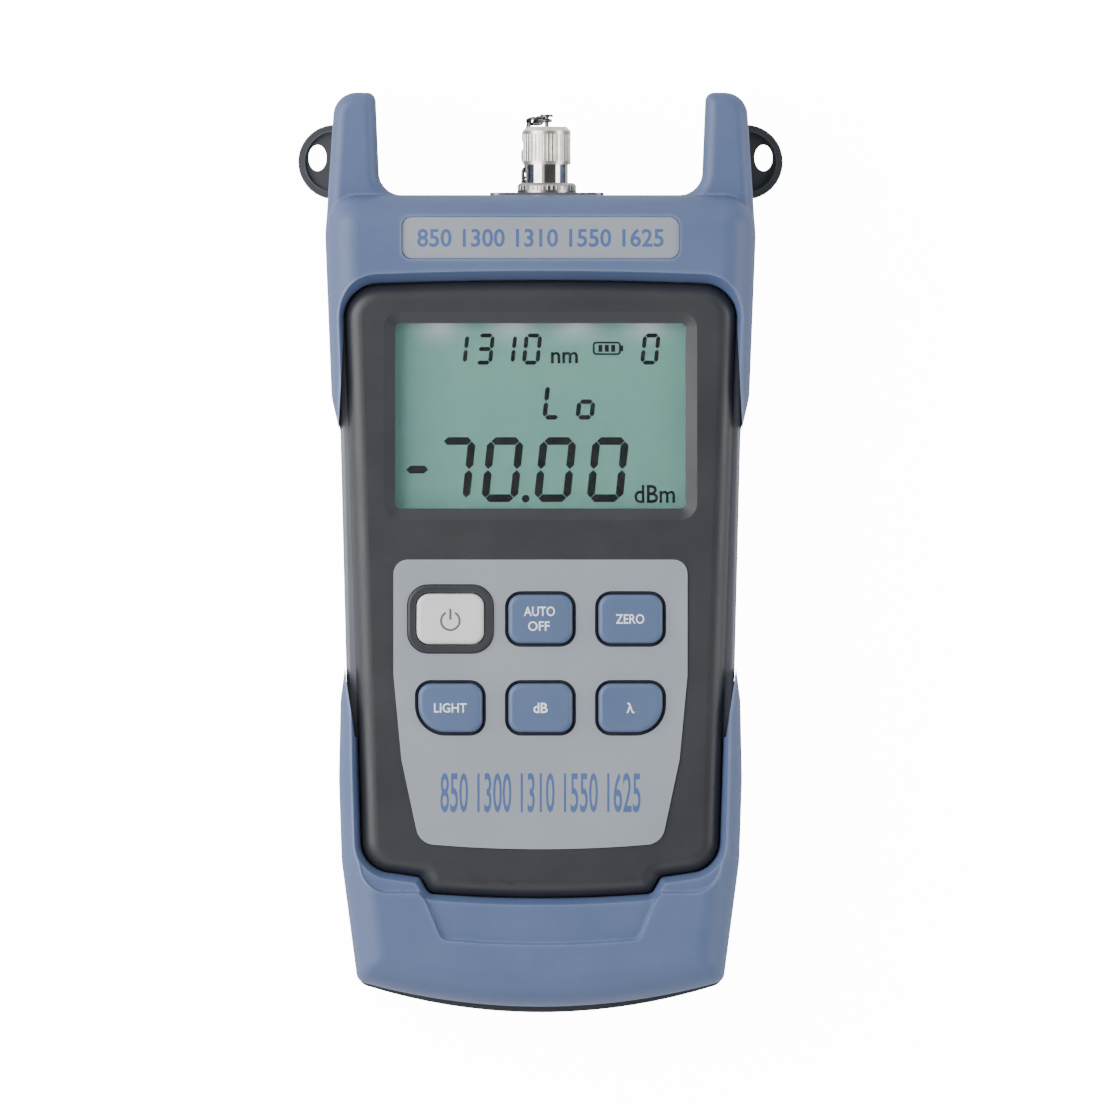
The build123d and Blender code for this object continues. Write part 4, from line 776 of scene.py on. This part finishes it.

# %% [markdown]
# Inside lies the keypad mat, one soft sheet of silicone with a dome under each key. Here the sheet
# and the domes are pieces of their own.

# %% Sheet of the keypad mat
mat_low, mat_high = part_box("keypad_mat")
mat_middle = (mat_low + mat_high) / 2
sheet_thick = 1.0 * mm
sheet_corner = 3.0 * mm
start_clean()
bpy.ops.mesh.primitive_plane_add(size=1, location=(mat_middle.x, mat_middle.y, mat_low.z))
mat_sheet = bpy.context.object
mat_sheet.scale = (mat_high.x - mat_low.x, mat_high.y - mat_low.y, 1)
place_in_mesh(mat_sheet)
pick(mat_sheet, "VERT", lambda co, n: True)
bpy.ops.mesh.bevel(offset=sheet_corner, segments=5, affect="VERTICES")
bpy.ops.object.mode_set(mode="OBJECT")
thicken(mat_sheet, sheet_thick, 1)
finish_piece(mat_sheet, "mat_sheet", grey_silicone, "root")
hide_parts("keypad_mat")

# %% [markdown]
# A dome starts as a cone without its point. Its foot is inset and pushed up to hollow it, and its
# rim is rounded, so that the key's nub presses on a soft edge.

# %% Soft domes
dome_sink = 0.02 * mm
dome_foot = mat_low.z + sheet_thick - dome_sink
dome_rise = mat_high.z - dome_foot
dome_radius = 3.6 * mm
dome_slant = math.radians(8)
dome_top_radius = dome_radius - dome_rise * math.tan(dome_slant)
dome_wall = 1.0 * mm
dome_hollow = dome_rise * 0.6
rim_round = 0.15 * mm


def soft_dome(key):
    x, y = middle_of(key)
    start_clean()
    bpy.ops.mesh.primitive_cone_add(
        vertices=28, radius1=dome_radius, radius2=dome_top_radius, depth=dome_rise,
        location=(x * mm, y * mm, dome_foot + dome_rise / 2),
    )
    dome = place_in_mesh(bpy.context.object)
    pick(dome, "FACE", lambda co, n: n.z < -0.9)
    bpy.ops.mesh.inset(thickness=dome_wall)
    bpy.ops.transform.translate(value=(0, 0, dome_hollow))
    bpy.ops.object.mode_set(mode="OBJECT")
    pick(dome, "FACE", lambda co, n: n.z > 0.9 and co.z > dome_foot + dome_rise * 0.9)
    bpy.ops.mesh.bevel(offset=rim_round, segments=2)
    bpy.ops.object.mode_set(mode="OBJECT")
    finish_piece(dome, "dome_of_" + key, grey_silicone, "root")
    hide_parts("keypad_mat")
    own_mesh(dome)


for key in ("key_power", "key_auto_off", "key_zero", "key_light", "key_db", "key_lambda"):
    soft_dome(key)
print("domes rise", round(dome_rise / mm, 2), "mm")

# %% [markdown]
# A raised arrow beside the grooves of the battery door shows which way it opens. It is a flat
# three-sided disc, given a chamfer so that it looks moulded.

# %% Door arrow
door_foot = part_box("battery_door")[0]
arrow_place = (0, door_foot.y + 34 * mm, door_foot.z)
arrow_radius = 3.2 * mm
arrow_depth = 0.5 * mm
arrow_chamfer = 0.2 * mm
start_clean()
bpy.ops.mesh.primitive_cylinder_add(
    vertices=3, radius=arrow_radius, depth=arrow_depth, location=arrow_place
)
arrow = place_in_mesh(bpy.context.object)
pick(arrow, "FACE", lambda co, n: n.z < -0.9)
bpy.ops.mesh.bevel(offset=arrow_chamfer, segments=2)
bpy.ops.object.mode_set(mode="OBJECT")
finish_piece(arrow, "door_arrow", dark_shell, "battery_door", smooth=30)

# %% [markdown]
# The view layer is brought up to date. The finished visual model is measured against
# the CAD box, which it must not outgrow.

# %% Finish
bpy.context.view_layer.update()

# %% [markdown]
# The floor is a plain white sheet. To the camera it shines brightly, as a sheet lit from below does
# in a studio, but it throws no more light on the meter than white paper would.

# %% The floor
floor_width = 3.0
floor_drop = 0.05 * mm
floor_shine = 14.0
start_clean()
bpy.ops.mesh.primitive_plane_add(size=floor_width, location=(0, 0, -floor_drop))
floor = bpy.context.object
floor.name = "floor"
floor_white, floor_tree, floor_shader = bare_material("floor_white", 0.9)
floor_surface = group_node(floor_tree, grain_group, Smear_size=3.0)
floor_tree.links.new(
    mix(floor_tree, floor_surface.outputs["Smear"], (0.93, 0.93, 0.93, 1.0), (0.95, 0.95, 0.95, 1.0)),
    floor_shader.inputs["Base Color"],
)
seen = floor_tree.nodes.new("ShaderNodeLightPath").outputs["Is Camera Ray"]
shine = maths(floor_tree, "MULTIPLY", seen, floor_shine)
floor_tree.links.new(shine, floor_shader.inputs["Emission Strength"])
floor_shader.inputs["Emission Color"].default_value = (1.0, 1.0, 1.0, 1.0)
floor.data.materials.append(floor_white)
